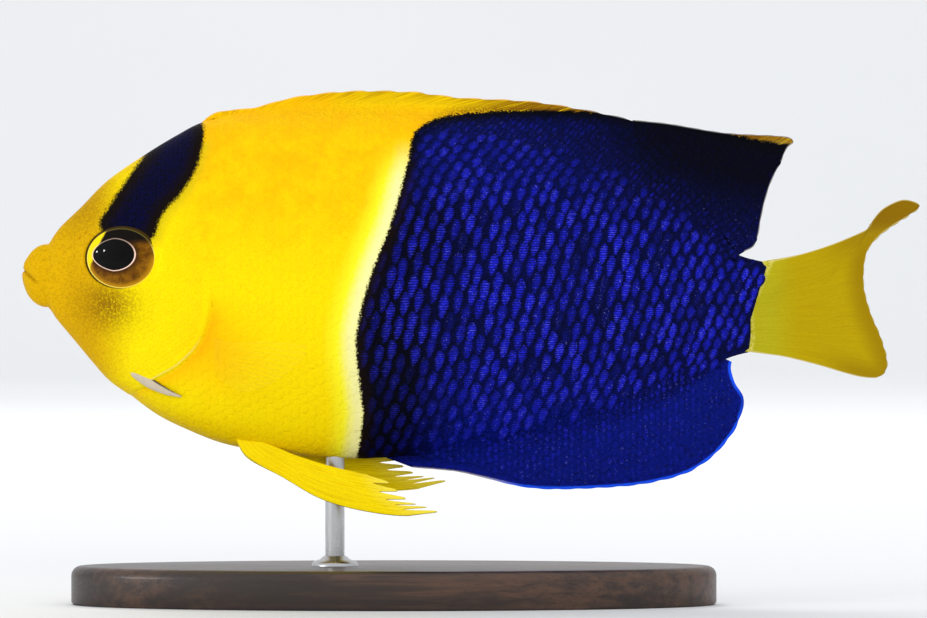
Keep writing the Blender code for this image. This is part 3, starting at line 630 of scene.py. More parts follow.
# The eyes: a wet dome in each orbit, with a brown iris that is black above and bright
# yellow at its upper front, and a dark pear-shaped pupil with a thin pale ring. A dark
# line of painted shade runs round the dome's edge, where it goes in under the orbit.
SIDES = ((-1, "left"), (1, "right"))
EYE_RADII = (5.85, 4.78)
EYE_MARGIN = 1.04            # how far the dome runs on under the orbit's rim
EYE_DEPTH = 1.9
EYE_OUT = 1.1                # how far its middle stands out of the head
EYE_TURN = 18.0              # degrees it looks forward of sideways
PUPIL_CENTRE = (-0.95, 0.55)
PUPIL_RADII = (3.5, 2.42)
PUPIL_SWELL = 0.12
PUPIL_GROOVE = 0.06
EYE_RINGS = 70
EYE_SPOKES = 144
IRIS_BROWN = (0.10, 0.030, 0.001)
IRIS_AMBER = (0.27, 0.11, 0.002)
IRIS_FIBRE = (0.04, 0.011, 0.001)
IRIS_SHADE = (0.03, 0.008, 0.001)
IRIS_LOWER_RIM = (0.55, 0.26, 0.003)
IRIS_BLACK = (0.004, 0.002, 0.001)
CRESCENT_YELLOW = (0.92, 0.70, 0.004)
RING_PINK = (0.92, 0.64, 0.50)
RIM_YELLOW = (0.93, 0.76, 0.12)
ORBIT_CREVICE_SHADE = (0.04, 0.02, 0.001)
PUPIL_BLACK = (0.002, 0.002, 0.002)

eye_finish, tree, shader = new_material("eye")
a, b, pupil = attribute(tree, "iris")
eye_place = node(tree, "ShaderNodeCombineXYZ", {0: maths(tree, "DIVIDE", a, EYE_RADII[0]),
                                                1: maths(tree, "DIVIDE", b, EYE_RADII[1])})
reach = node(tree, "ShaderNodeVectorMath", {0: eye_place}, 1, operation="LENGTH")
heading = maths(tree, "ARCTAN2", b, a)
along_fibres = node(tree, "ShaderNodeCombineXYZ", {0: product(tree, heading, 0.004),
                                                   1: product(tree, reach, 0.0016)})
fibres = noise(tree, along_fibres, 0.35, 3, 0.7)
clouds = noise(tree, where(tree), 1.6, 3, 0.6)
lower_rim = product(tree, rising(tree, reach, 0.76, 0.93), rising(tree, b, 1.6, -1.0, 0, 0.8))
height = maths(tree, "SUBTRACT", b, product(tree, a, 0.06))
black_part = rising(tree, maths(tree, "ADD", height, product(tree, clouds, 0.9)), 1.9, 3.3)
front = maths(tree, "SUBTRACT", product(tree, b, 0.4), product(tree, a, 0.92))
crescent = rising(tree, maths(tree, "ADD", front, product(tree, clouds, 0.6)), 4.1, 4.55)
ring = product(tree, rising(tree, pupil, 0.985, 1.01), rising(tree, pupil, 1.07, 1.04),
               rising(tree, b, 2.8, 0.5, 0.35, 1.0))
rim = product(tree, rising(tree, reach, 0.925, 0.94), rising(tree, b, 2.6, 0.8, 0.1, 0.9))
# painted shade: a dark line round the dome's edge, where it goes in under the orbit's rim
colour = painted(
    tree, IRIS_BROWN, (rising(tree, clouds, 0.3, 0.7), IRIS_AMBER),
    (rising(tree, fibres, 0.35, 0.75, 0, 0.5), IRIS_FIBRE),
    (rising(tree, pupil, 1.45, 1.08, 0, 0.75), IRIS_SHADE), (lower_rim, IRIS_LOWER_RIM),
    (black_part, IRIS_BLACK), (crescent, CRESCENT_YELLOW), (ring, RING_PINK), (rim, RIM_YELLOW),
    (rising(tree, reach, 0.955, 0.975), ORBIT_CREVICE_SHADE), (rising(tree, pupil, 1.0, 0.98), PUPIL_BLACK))
tree.links.new(colour, shader.inputs["Base Color"])
shader.inputs["Roughness"].default_value = 0.4
shader.inputs["IOR"].default_value = FLESH_INDEX
shader.inputs["Coat Weight"].default_value = 0.2
shader.inputs["Coat IOR"].default_value = 1.33
shader.inputs["Coat Roughness"].default_value = 0.02

radius = np.linspace(0, 1, EYE_RINGS)[:, None]
spoke = np.linspace(0, 2 * math.pi, EYE_SPOKES, endpoint=False)[None, :]
eye_a = EYE_RADII[0] * EYE_MARGIN * radius * np.cos(spoke)
eye_b = EYE_RADII[1] * EYE_MARGIN * radius * np.sin(spoke)
lean_in = (eye_a - PUPIL_CENTRE[0]) / PUPIL_RADII[0]
point_front = 1 + 0.22 * np.clip(-lean_in, 0, 1.3)
pupil_reach = np.hypot(lean_in, (eye_b - PUPIL_CENTRE[1]) / PUPIL_RADII[1] * point_front)
dome = EYE_DEPTH * (np.sqrt(1 - (0.97 * radius) ** 2) - 1) + 0 * eye_a
dome = dome + PUPIL_SWELL * (1 - ease(pupil_reach, 0.92, 1.12)) - PUPIL_GROOVE * bell(pupil_reach, 1.17, 0.1)
eye_faces = ring_faces(EYE_RINGS, EYE_SPOKES) + end_faces(EYE_RINGS, EYE_SPOKES)[1:]
turn_by = math.radians(EYE_TURN)
eye_local = np.stack([eye_a * math.cos(turn_by) - dome * math.sin(turn_by),
                      EYE_OUT + dome * math.cos(turn_by) + eye_a * math.sin(turn_by), eye_b], axis=-1)
for side, side_name in SIDES:
    points = world(eye_local + flank_at(*EYE_CENTRE), side).reshape(-1, 3)
    eye = surface_from(f"eyeball_{side_name}", points, turned_over(eye_faces) if side < 0 else eye_faces)
    write_attribute(eye, "iris", eye_a, eye_b, pupil_reach)
    eye.data.materials.append(eye_finish)
    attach(eye, "root")
    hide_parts(f"eye_{side_name}")

# The cheek spines: one long pointed spine at the lower corner of each cheek, pale and
# smooth like bone, with a dark line along its upper edge.
CHEEK_SPINE = [(16.9, -15.3), (18.0, -16.7), (20.2, -18.2), (22.7, -19.4), (25.0, -20.2)]
CHEEK_SPINE_HALF = [0.65, 0.9, 0.78, 0.5, 0.12]
CHEEK_SPINE_LIFT = [-0.9, -0.25, 0.35, 0.6, 0.55]
SPINE_SIDES = 20
BONE_DARK = (0.44, 0.37, 0.28)
BONE_LIGHT = (0.62, 0.54, 0.42)
SPINE_LINE = (0.03, 0.022, 0.02)

spine_finish, tree, shader = new_material("cheek_spine")
place = where(tree)
up, backward, _ = attribute(tree, "spine")
colour = painted(tree, BONE_DARK, (noise(tree, place, 0.8, 3, 0.6), BONE_LIGHT),
                 (rising(tree, backward, 0.28, 0.0), YELLOW), (rising(tree, up, 0.55, 0.9), SPINE_LINE))
tree.links.new(colour, shader.inputs["Base Color"])
shader.inputs["Roughness"].default_value = 0.4
shader.inputs["IOR"].default_value = FLESH_INDEX
bump(tree, shader, noise(tree, place, 0.15, 2, 0.5, (0.1, 1, 1)), 0.02)


def spine_ring(centre, ahead, half):
    """Points round a flattened section of the spine."""
    across = np.cross(ahead, (0, 1, 0))
    across /= np.linalg.norm(across)
    outward = np.cross(across, ahead)
    ring = np.linspace(0, 2 * math.pi, SPINE_SIDES, endpoint=False)
    return [centre + across * half * math.cos(k) + outward * 0.5 * half * math.sin(k) for k in ring]


spine_places = smooth(CHEEK_SPINE, 8)
spine_steps = np.linspace(0, len(CHEEK_SPINE) - 1, len(spine_places))
lifts = np.interp(spine_steps, range(len(CHEEK_SPINE)), CHEEK_SPINE_LIFT)
halves = np.interp(spine_steps, range(len(CHEEK_SPINE)), CHEEK_SPINE_HALF)
centres = [flank_at(x, z) + (0, lift, -0.25 * lift) for (x, z), lift in zip(spine_places, lifts)]
rings = []
for k, centre in enumerate(centres):
    ahead = centres[min(k + 1, len(centres) - 1)] - centres[max(k - 1, 0)]
    rings.append(spine_ring(centre, ahead / np.linalg.norm(ahead), halves[k]))
spine_faces = ring_faces(len(rings), SPINE_SIDES) + end_faces(len(rings), SPINE_SIDES)
spine_up = np.cos(np.linspace(0, 2 * math.pi, SPINE_SIDES, endpoint=False))[None, :]
spine_back = (spine_steps / spine_steps[-1])[:, None]
for side, side_name in SIDES:
    points = world(np.array(rings), side).reshape(-1, 3)
    faces = turned_over(spine_faces) if side > 0 else spine_faces
    spine = surface_from(f"cheek_spine_{side_name}", points, faces)
    write_attribute(spine, "spine", spine_up, spine_back, 0.0)
    spine.data.materials.append(spine_finish)
    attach(spine, "root")

# The dorsal fin: low swept-back spines in front, tall soft rays behind, all in one thin
# membrane that grows from the back's edge. Yellow above the border, navy below and behind.
SPINY_ROOT = (28.4, 89.6)
SPINY_MARGIN = [(27.9, 22.2), (29.0, 23.1), (30.4, 23.75), (32.6, 24.1), (35.9, 24.4), (39.2, 25.3),
                (43.1, 26.2), (50.8, 27.0), (60.5, 26.9), (67.9, 26.0), (78.9, 25.4), (87.9, 24.0),
                (94.8, 22.5)]
SPINY_SPINES = 15
SPINY_LAG = 0.14             # how far the spines' roots lie ahead, as a part of the fin's length
SOFT_ROOT_END = 110.2
SOFT_MARGIN = [(94.8, 22.5), (100.4, 21.9), (109.1, 20.5), (117.8, 20.0), (119.7, 19.2), (118.6, 18.1),
               (117.6, 15.8), (116.3, 13.3), (115.3, 10.4), (114.6, 7.4), (114.1, 4.6),
               (113.4, 2.9), (112.0, 2.1)]
SOFT_RAYS = 16
MEMBRANE_HALF = 0.20
MEMBRANE_EDGE_HALF = 0.10
ROOT_SUNK = 1.2              # how far a fin's root lies inside the flesh
DORSAL_FILLET = [(28.4, 0.02, 1.1), (38.0, 0.12, 1.1), (75.0, 0.12, 1.1), (92.0, 0.17, 2.2)]
FRONT_MARGIN = (0.90, 0.52, 0.12)
REAR_MARGIN = (0.30, 0.29, 0.28)


def along_line(curve, places):
    """Points of a curve at the given fractions of its length."""
    steps = np.hypot(*np.diff(curve, axis=0).T)
    travelled = np.concatenate([[0], np.cumsum(steps)])
    wanted = np.asarray(places) * travelled[-1]
    return np.column_stack([np.interp(wanted, travelled, axis) for axis in curve.T])


def edge_of_body(curve, start, end, raised):
    """The back's or belly's edge between two places, moved up by the given amount."""
    x = np.linspace(start, end, 80)
    return np.column_stack([x, curve_at(curve, x) + raised])


def fin_grid(root, margin, rays, per_ray, rows, notch, first=None, last=None, lag=0.0, late=0.0):
    """Points of a fin in x and z, with the ray that each column follows and the way up.

    The four edges are curves, the first and last straight where none is given, and the
    inside follows them evenly (a Coons patch). Between rays the margin is drawn in, to the
    notch's fraction of the length. Where the last rays run out through a narrow neck, they
    follow the margin's shape late.
    """
    ray = np.linspace(0, rays, rays * per_ray + 1)
    across = (ray / rays)[:, None, None]
    keep = 1 - (1 - notch) * np.abs(np.cos(math.pi * ray)) ** 3
    up = np.linspace(0, 1, rows + 1)[None, :] * keep[:, None]
    edges = []
    for edge, end in ((first, 0), (last, -1)):
        if edge is None:
            edge = np.linspace(root[end], margin[end], 5)
        edges.append(along_line(smooth(edge), up.ravel()).reshape(*up.shape, 2))
    lagging = across - lag * np.sin(math.pi * across)
    root = along_line(smooth(root), lagging.ravel())[:, None]
    margin = along_line(smooth(margin), across.ravel())[:, None]
    blend = up[:, :, None] ** (1 + late * ease(across, 0.5, 1.0))
    ruled = root * (1 - blend) + margin * blend
    corners = (root[:1] * (1 - across) * (1 - blend) + root[-1:] * across * (1 - blend)
               + margin[:1] * (1 - across) * blend + margin[-1:] * across * blend)
    return ruled + edges[0] * (1 - across) + edges[1] * across - corners, ray, up


def ray_ridges(ray, up, forks):
    """Height of the rays' ridges from 0 to 1, where each ray forks toward the margin."""
    side_step = 0.14 * forks * ease(up, 0.30, 0.75)
    fine_step = 0.065 * forks * ease(up, 0.60, 1.0)
    off = np.abs(np.abs(np.abs(ray[:, None] % 1.0 - 0.5) - side_step) - fine_step)
    width = 0.13 - 0.085 * forks * ease(up, 0.30, 0.8)
    return np.exp(-(off / width) ** 2)


def fin_half(x, z, edge, fillet):
    """Half the thickness of a fin, which swells where it grows out of the body's edge."""
    at, share, fade = np.array(fillet).T
    swell = np.interp(x, at, share) * curve_at(WIDTH_CURVE, x)
    return MEMBRANE_HALF + swell * np.exp(-line_distance(edge, x, z) / np.interp(x, at, fade))


def grid_rim(columns, rows):
    """A grid's outer points, once round it."""
    rim = [i * rows for i in range(columns)] + [(columns - 1) * rows + j for j in range(1, rows)]
    return rim + [i * rows + rows - 1 for i in range(columns - 2, -1, -1)] + list(range(rows - 2, 0, -1))


def sheet_faces(columns, rows):
    """Faces of a closed sheet: a grid of points, the same again for its back, and the rim."""
    count = columns * rows
    rim = grid_rim(columns, rows)
    faces = grid_faces(columns, rows) + turned_over(grid_faces(columns, rows, count))
    return faces + [(a, a + count, b + count, b) for a, b in zip(rim, rim[1:] + rim[:1])]


def build_fin(name, grid, ray, up, sideways, half, ridges, rise, margin):
    """A closed fin: a thin membrane with its rays as ridges on both faces."""
    centre = np.stack([grid[:, :, 0], sideways, grid[:, :, 1]], axis=2)
    normal = np.cross(np.gradient(centre, axis=1), np.gradient(centre, axis=0))
    normal /= np.maximum(np.linalg.norm(normal, axis=2, keepdims=True), 1e-9)
    half = half - (MEMBRANE_HALF - MEMBRANE_EDGE_HALF) * ease(up, 0.85, 1.0)
    half = (half + rise * ridges * ease(up, 0.02, 0.2) * (1 - 0.6 * up))[:, :, None]
    both_faces = np.concatenate([centre - normal * half, centre + normal * half]).reshape(-1, 3)
    fin = surface_from(name, world(both_faces), sheet_faces(*up.shape))
    x, z = np.concatenate([grid, grid]).reshape(-1, 2).T
    paint(fin, x, z)
    both = [np.tile(np.broadcast_to(value, up.shape).ravel(), 2) for value in (ray[:, None], up, ridges)]
    write_attribute(fin, "fin", *both)
    write_attribute(fin, "rim", line_distance(smooth(margin), x, z), x, z)
    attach(fin, "root")
    return fin


def streaks(tree, across, lengthwise):
    """Fine streaks that run out along a fin's rays: how many to a ray, and along its length."""
    ray, up, _ = attribute(tree, "fin")
    drawn = node(tree, "ShaderNodeCombineXYZ", {0: product(tree, ray, across * MM),
                                                1: product(tree, up, lengthwise * MM)})
    return noise(tree, drawn, 1.0, 3, 0.6)


def yellow_fin_colour(tree, place, main, ray_colour, shade, streaking=0.35):
    """Membrane and rays of nearly one yellow, with fine streaks and grain."""
    return painted(tree, main, (rising(tree, attribute(tree, "fin")[2], 0.1, 0.8), ray_colour),
                   (rising(tree, streaks(tree, 9, 3), 0.42, 0.75, 0, streaking), shade),
                   (rising(tree, noise(tree, place, 0.3, 3, 0.6), 0.4, 0.8, 0, 0.2), shade))


def finish_fin(tree, shader, colour, grain=0.03):
    """The finish that all fins share: a satin surface with fine streaks in relief."""
    tree.links.new(colour, shader.inputs["Base Color"])
    shader.inputs["Roughness"].default_value = FLESH_ROUGHNESS
    shader.inputs["IOR"].default_value = FLESH_INDEX
    fine = noise(tree, where(tree), 0.3, 3, 0.6)
    bump(tree, shader, maths(tree, "ADD", streaks(tree, 9, 3), fine), grain)


dorsal_finish, tree, shader = new_material("dorsal_fin")
place = where(tree)
margin_off, backward, _ = attribute(tree, "rim")
fine = noise(tree, place, 0.3, 3, 0.6)
navy = mixed(tree, rising(tree, fine, 0.5, 0.75, 0, 0.12), blue_ground(tree, place), BRIGHT_BLUE)
slanting = streaks(tree, 10, 1.6)
bronze_part = product(tree, rising(tree, slanting, 0.42, 0.66, 0, 0.4),
                      rising(tree, attribute(tree, "marks")[0], -0.1, -0.8),
                      rising(tree, attribute(tree, "fin")[1], 0.4, 0.8))
pale = mixed(tree, rising(tree, backward, 80.0, 92.0), FRONT_MARGIN, REAR_MARGIN)
finish_fin(tree, shader, painted(tree, coat_colour(tree, place, navy, slanting), (bronze_part, BRONZE),
                                 (rising(tree, margin_off, 0.22, 0.08, 0, 0.75), pale)))

root = edge_of_body(BACK_CURVE, *SPINY_ROOT, -ROOT_SUNK)
grid, ray, up = fin_grid(root, SPINY_MARGIN, SPINY_SPINES, 12, 26, 0.955, lag=SPINY_LAG)
half = fin_half(grid[..., 0], grid[..., 1], BACK_CURVE, DORSAL_FILLET)
ridges = ray_ridges(ray, up, 0.0) * ease(up, 0.35, 0.75)
spiny = build_fin("dorsal_spines", grid, ray, up, 0 * up, half, ridges, 0.2, SPINY_MARGIN)
root = edge_of_body(BACK_CURVE, SPINY_ROOT[1], SOFT_ROOT_END, -ROOT_SUNK)
grid, ray, up = fin_grid(root, SOFT_MARGIN, SOFT_RAYS, 14, 64, 0.992)
half = fin_half(grid[..., 0], grid[..., 1], BACK_CURVE, DORSAL_FILLET)
ridges = ray_ridges(ray, up, 1.0)
soft = build_fin("dorsal_soft_rays", grid, ray, up, 0 * up, half, ridges, 0.05, SOFT_MARGIN)
for fin, solid, slot in ((spiny, "dorsal_fin_spiny", "yellow_fin"), (soft, "dorsal_fin_soft", "blue_fin")):
    fin.data.materials.append(dorsal_finish)
    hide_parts(solid)

# The anal fin: three short spines, then soft rays to a rounded rear corner. Deep blue with
# fine specks, and an electric blue rim along its lower edge.
ANAL_ROOT = (53.9, 108.0)
ANAL_MARGIN = [(60.6, -31.4), (67.1, -32.0), (71.2, -32.9), (77.5, -34.4), (83.4, -34.8), (92.5, -34.4),
               (97.9, -33.7), (103.0, -32.3), (106.6, -30.1), (108.8, -27.9), (110.6, -25.4),
               (111.7, -22.5), (111.9, -20.6), (110.6, -18.4), (109.9, -16.3), (110.0, -15.0)]
ANAL_RAYS = 20
ANAL_SPINES = 3.0
ANAL_FILLET = [(53.9, 0.03, 1.2), (62.0, 0.12, 1.4), (110.0, 0.15, 1.8)]
ANAL_STREAK = (0.003, 0.003, 0.05)
RIM_PALE = (0.42, 0.38, 0.42)
RIM_BLUE = (0.008, 0.075, 0.80)

anal_finish, tree, shader = new_material("anal_fin")
place = where(tree)
margin_off, backward, _ = attribute(tree, "rim")
fine = noise(tree, place, 0.3, 3, 0.65)
rim_colour = mixed(tree, rising(tree, backward, 70.0, 78.0), RIM_PALE, RIM_BLUE)
thinned = maths(tree, "ADD", margin_off, rising(tree, backward, 82.0, 66.0, 0, 0.3))
rim = product(tree, rising(tree, maths(tree, "ADD", thinned, product(tree, fine, 0.25)), 0.72, 0.45),
              rising(tree, backward, 112.5, 110.0, 0.3, 1.0))
finish_fin(tree, shader, painted(
    tree, blue_ground(tree, place), (rising(tree, fine, 0.45, 0.75, 0, 0.4), BRIGHT_BLUE),
    (rising(tree, streaks(tree, 9, 6), 0.45, 0.75, 0, 0.35), ANAL_STREAK), (rim, rim_colour)))

root = edge_of_body(BELLY_CURVE, *ANAL_ROOT, ROOT_SUNK)
grid, ray, up = fin_grid(root, ANAL_MARGIN, ANAL_RAYS, 12, 50, 0.99)
half = fin_half(grid[..., 0], grid[..., 1], BELLY_CURVE, ANAL_FILLET)
ridges = ray_ridges(ray, up, ease(ray, ANAL_SPINES, ANAL_SPINES + 0.2)[:, None])
anal = build_fin("anal_fin_rays", grid, ray, up, 0 * up, half, ridges, 0.05, ANAL_MARGIN)
anal.data.materials.append(anal_finish)
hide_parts("anal_fin")

# The tail fin: fine branching rays in a yellow membrane, greener at its root. The upper
# lobe is the longer one, and turns edge-on at its neck. A pale painted highlight runs
# along the fin's edges.
TAIL_UPPER_EDGE = [(115.8, 0.5), (120.4, 1.6), (125.6, 3.2), (130.0, 4.9), (131.3, 5.7), (132.0, 7.0),
                   (133.6, 8.8), (136.4, 10.1), (138.6, 9.7), (139.3, 9.0)]
TAIL_MARGIN = [(139.3, 9.0), (137.8, 7.8), (135.2, 6.2), (133.0, 4.6), (131.4, 2.8), (130.7, 1.0),
               (130.5, -1.6), (130.7, -4.2), (131.7, -7.7), (133.0, -10.7), (133.9, -13.4),
               (134.2, -15.1), (133.9, -16.6), (132.6, -17.5)]
TAIL_LOWER_EDGE = [(112.8, -13.3), (115.4, -13.8), (118.6, -14.3), (123.4, -15.5), (127.8, -16.8),
                   (130.4, -17.4), (132.6, -17.5)]
TAIL_RAYS = 17
TAIL_SUNK = 1.2
TAIL_NECK = (131.2, 4.8)
TAIL_TURN = 1.3
TAIL_GREEN = (0.43, 0.39, 0.010)
TAIL_YELLOW = (0.44, 0.315, 0.002)
TAIL_LOBE = (0.235, 0.125, 0.002)
TAIL_SHADE = (0.30, 0.17, 0.001)
TAIL_ROOT_PALE = (0.80, 0.72, 0.20)
TAIL_EDGE_HIGHLIGHT = (0.66, 0.55, 0.20)

tail_finish, tree, shader = new_material("tail_fin")
place = where(tree)
margin_off, backward, height = attribute(tree, "rim")
far_out = maths(tree, "MAXIMUM", rising(tree, height, 1.0, 7.5), rising(tree, margin_off, 4.0, 0.5, 0, 0.6))
colour = painted(tree, TAIL_GREEN, (rising(tree, backward, 115.0, 121.0), TAIL_YELLOW),
                 (product(tree, far_out, rising(tree, backward, 122.0, 130.0)), TAIL_LOBE))
pale_root = product(tree, rising(tree, attribute(tree, "fin")[1], 0.092, 0.078, 0, 0.5),
                    rising(tree, noise(tree, place, 0.25, 3, 0.65), 0.42, 0.6))
# painted highlight: a pale rim along the tail's edges
colour = painted(tree, yellow_fin_colour(tree, place, colour, colour, TAIL_SHADE, 0.28),
                 (pale_root, TAIL_ROOT_PALE), (rising(tree, margin_off, 0.22, 0.06, 0, 0.6), TAIL_EDGE_HIGHLIGHT))
finish_fin(tree, shader, colour, 0.02)


def tapered(root_half, up, fade):
    """Half the thickness of a fin that thins from its root to its membrane."""
    blend = ease(up, 0, fade)
    return np.reshape(root_half, (-1, 1)) * (1 - blend) + MEMBRANE_HALF * blend


tail_root = TAIL_LINE - (TAIL_SUNK, 0)
grid, ray, up = fin_grid(tail_root, TAIL_MARGIN[::-1], TAIL_RAYS, 14, 70, 0.992,
                         [tail_root[0], *TAIL_LOWER_EDGE[1:]], [tail_root[-1], *TAIL_UPPER_EDGE[1:]],
                         late=4.0)
from_neck = grid - np.array(TAIL_NECK)
lobe_way = np.array(TAIL_UPPER_EDGE[-1]) - TAIL_NECK
lobe_way /= np.linalg.norm(lobe_way)
outward = from_neck @ lobe_way
across = from_neck @ np.array([-lobe_way[1], lobe_way[0]])
turned_part = ease(outward, -8.0, 0.5) * (1 - 0.7 * ease(outward, 0.5, 8.0))
sideways = TAIL_TURN * turned_part * ease(across, -6.0, -2.0) * np.tanh(across)
root_half = flank_at(grid[:, 0, 0], grid[:, 0, 1])[:, 1] - 0.3
tail_outline = TAIL_LOWER_EDGE + TAIL_MARGIN[-2::-1] + TAIL_UPPER_EDGE[-2::-1]
tail = build_fin("tail_fin_rays", grid, ray, up, sideways, tapered(root_half, up, 0.3),
                 ray_ridges(ray, up, 1.0), 0.06, tail_outline)
tail.data.materials.append(tail_finish)
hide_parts("tail_fin")

# The pelvic fins: a spine and five rays each, folded back under the belly, with the rays'
# ends free as loose points. The right one is held higher.
PELVIC_ROOT = [(33.2, -27.0), (35.2, -27.4), (37.2, -27.6)]
PELVIC_LEADING_EDGE = [(33.2, -27.0), (35.2, -29.8), (40.6, -32.8), (45.9, -35.8), (51.2, -37.5),
                       (58.3, -38.6), (65.1, -38.4)]
PELVIC_TRAILING_EDGE = [(37.2, -27.6), (40.0, -28.5), (43.5, -29.8), (49.0, -31.4), (56.3, -33.0)]
PELVIC_MARGIN = [(65.1, -38.4), (63.2, -37.5), (60.4, -36.6), (58.3, -34.9), (56.3, -33.0)]
PELVIC_RAYS = 6
PELVIC_ROOT_HALF = 0.85
PELVIC_SPACE = 2.5           # from the body's middle to each root
PELVIC_SPLAY = 20.0
RIGHT_PELVIC_RAISE = 8.0
PELVIC_YELLOW = (0.90, 0.68, 0.002)
PELVIC_RAY = (0.93, 0.74, 0.003)
PELVIC_SHADE = (0.55, 0.30, 0.001)
PELVIC_TIP = (0.90, 0.78, 0.12)

pelvic_finish, tree, shader = new_material("pelvic_fin")
colour = yellow_fin_colour(tree, where(tree), PELVIC_YELLOW, PELVIC_RAY, PELVIC_SHADE, 0.6)
toward_tip = rising(tree, attribute(tree, "fin")[1], 0.75, 1.0, 0, 0.5)
finish_fin(tree, shader, mixed(tree, toward_tip, colour, PELVIC_TIP))


def turned_about(points, centre, degrees):
    """Points of the side view, turned about a centre."""
    angle = math.radians(degrees)
    turn = np.array([[math.cos(angle), -math.sin(angle)], [math.sin(angle), math.cos(angle)]])
    return (np.array(points) - centre) @ turn.T + centre


for side, side_name in SIDES:
    raise_by = RIGHT_PELVIC_RAISE if side > 0 else 0.0
    edges = (PELVIC_ROOT, PELVIC_MARGIN, PELVIC_LEADING_EDGE, PELVIC_TRAILING_EDGE)
    root, margin, first, last = [turned_about(edge, PELVIC_ROOT[0], raise_by) for edge in edges]
    grid, ray, up = fin_grid(root, margin, PELVIC_RAYS, 18, 70, 0.86, first, last)
    below = PELVIC_ROOT[0][1] - grid[:, :, 1]
    sideways = side * (PELVIC_SPACE + math.tan(math.radians(PELVIC_SPLAY)) * np.maximum(below, 0))
    half = tapered(PELVIC_ROOT_HALF + 0 * ray, up, 0.25)
    fin = build_fin(f"pelvic_rays_{side_name}", grid, ray, up, sideways, half,
                    ray_ridges(ray, up, 0.8), 0.14, margin)
    fin.data.materials.append(pelvic_finish)
    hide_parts(f"pelvic_fin_{side_name}")

# The pectoral fins: fans of thirteen fine rays in a membrane that is almost clear, held
# out from the flanks just behind the gill covers.
PECTORAL_ROOT = [(29.3, -11.2), (29.5, -13.8), (29.8, -16.6)]
PECTORAL_UPPER_EDGE = [(29.3, -11.2), (33.6, -11.9), (38.5, -11.6), (44.5, -12.1)]
PECTORAL_MARGIN = [(44.5, -12.1), (44.6, -13.6), (42.8, -15.8), (40.0, -17.8), (37.0, -19.2), (34.6, -19.6)]
PECTORAL_LOWER_EDGE = [(29.8, -16.6), (32.2, -18.4), (34.6, -19.6)]
PECTORAL_RAYS = 13
PECTORAL_ROOT_HALF = 0.2
PECTORAL_SUNK = 1.0
PECTORAL_ANGLE = 45.0
PECTORAL_YELLOW = (0.96, 0.76, 0.02)
PECTORAL_RAY = (0.95, 0.68, 0.01)
PECTORAL_SHADE = (0.90, 0.56, 0.01)

pectoral_finish, tree, shader = new_material("pectoral_fin")
_, up, ridge = attribute(tree, "fin")
colour = yellow_fin_colour(tree, where(tree), PECTORAL_YELLOW, PECTORAL_RAY, PECTORAL_SHADE)
clear = maths(tree, "ADD", rising(tree, ridge, 0.2, 0.8, 0.05, 0.2), rising(tree, up, 0.2, 0.0, 0, 0.12))
tree.links.new(clear, shader.inputs["Alpha"])
finish_fin(tree, shader, colour, 0.01)

slope = math.tan(math.radians(PECTORAL_ANGLE))
grid, ray, up = fin_grid(PECTORAL_ROOT, PECTORAL_MARGIN, PECTORAL_RAYS, 12, 50, 0.98,
                         PECTORAL_UPPER_EDGE, PECTORAL_LOWER_EDGE)
start = flank_at(grid[:, 0, 0], grid[:, 0, 1])[:, 1]
reach = grid[:, :, 0] - grid[:, :1, 0]
outward = start[:, None] + reach * slope * (1.15 - 0.012 * reach) - PECTORAL_SUNK
half = tapered(PECTORAL_ROOT_HALF + 0 * ray, up, 0.2)
for side, side_name in SIDES:
    fin = build_fin(f"pectoral_rays_{side_name}", grid, ray, up, side * outward, half,
                    ray_ridges(ray, up, 0.9), 0.08, PECTORAL_MARGIN)
    fin.data.materials.append(pectoral_finish)
    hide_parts(f"pectoral_fin_{side_name}")

# The skin at the dorsal fin's base: a thin strip on each side that runs from the back up
# onto the spiny fin. It lies on a bed, a table of places all over the coat and the fins'
# faces, in millimetres back and round the body, on which the scales are laid too.
ROW_STEP = 0.35              # spacing of the bed's rows on the fins' faces
ROWS_ABOVE = 70
ROWS_BELOW = 40
BODY_ROWS = 241
GIRTH_STEPS = np.linspace(-56, 64, 481)
SMOOTHING_PASSES = 8
SHEATH_START = SPINY_ROOT[0] + 1.0
SHEATH_END = 110.3
SHEATH_BELOW = 2.2           # how far the strip runs down from the back's edge
SHEATH_ABOVE = 1.5           # and up
SHEATH_ROWS = 24
SHEATH_THICK = 0.25
SHEATH_EDGE_SUNK = 0.14      # how far its edges dip into the skin, and more so in front
SHEATH_FRONT_SUNK = 0.3
SHEATH_END_SUNK = 0.35

station = np.linspace(5.0, 119.0, 470)
turn = np.radians(np.linspace(-90, 90, BODY_ROWS))
body = flank(station[:, None] + 0 * turn, turn + 0 * station[:, None])
away = ROW_STEP * np.arange(1, ROWS_ABOVE + 1)
middle, depth = heights(station)
above_z = (middle + depth)[:, None] + away
below_z = (middle - depth)[:, None] - away[ROWS_BELOW - 1::-1]
above, below = [np.stack(np.broadcast_arrays(station[:, None], 0.0, z), axis=-1) for z in (above_z, below_z)]
sampled = np.concatenate([below, body, above], axis=1)
sampled_x, sampled_z = sampled[..., 0], sampled[..., 2]
on_dorsal = (sampled_x > SPINY_ROOT[0]) & (sampled_z > middle[:, None])
on_anal = (sampled_x > ANAL_ROOT[0]) & (sampled_z < middle[:, None])
fin_surface = np.where(on_dorsal, fin_half(sampled_x, sampled_z, BACK_CURVE, DORSAL_FILLET), 0)
fin_surface += np.where(on_anal, fin_half(sampled_x, sampled_z, BELLY_CURVE, ANAL_FILLET), 0)
sampled[..., 1] = np.maximum(sampled[..., 1], fin_surface)
girth = np.cumsum(np.linalg.norm(np.diff(sampled, axis=1), axis=2), axis=1)
girth = np.concatenate([np.zeros((len(station), 1)), girth], axis=1)
girth -= girth[:, ROWS_BELOW + BODY_ROWS // 2, None]     # counted from the middle of the flank
lower_edge = girth[:, ROWS_BELOW]
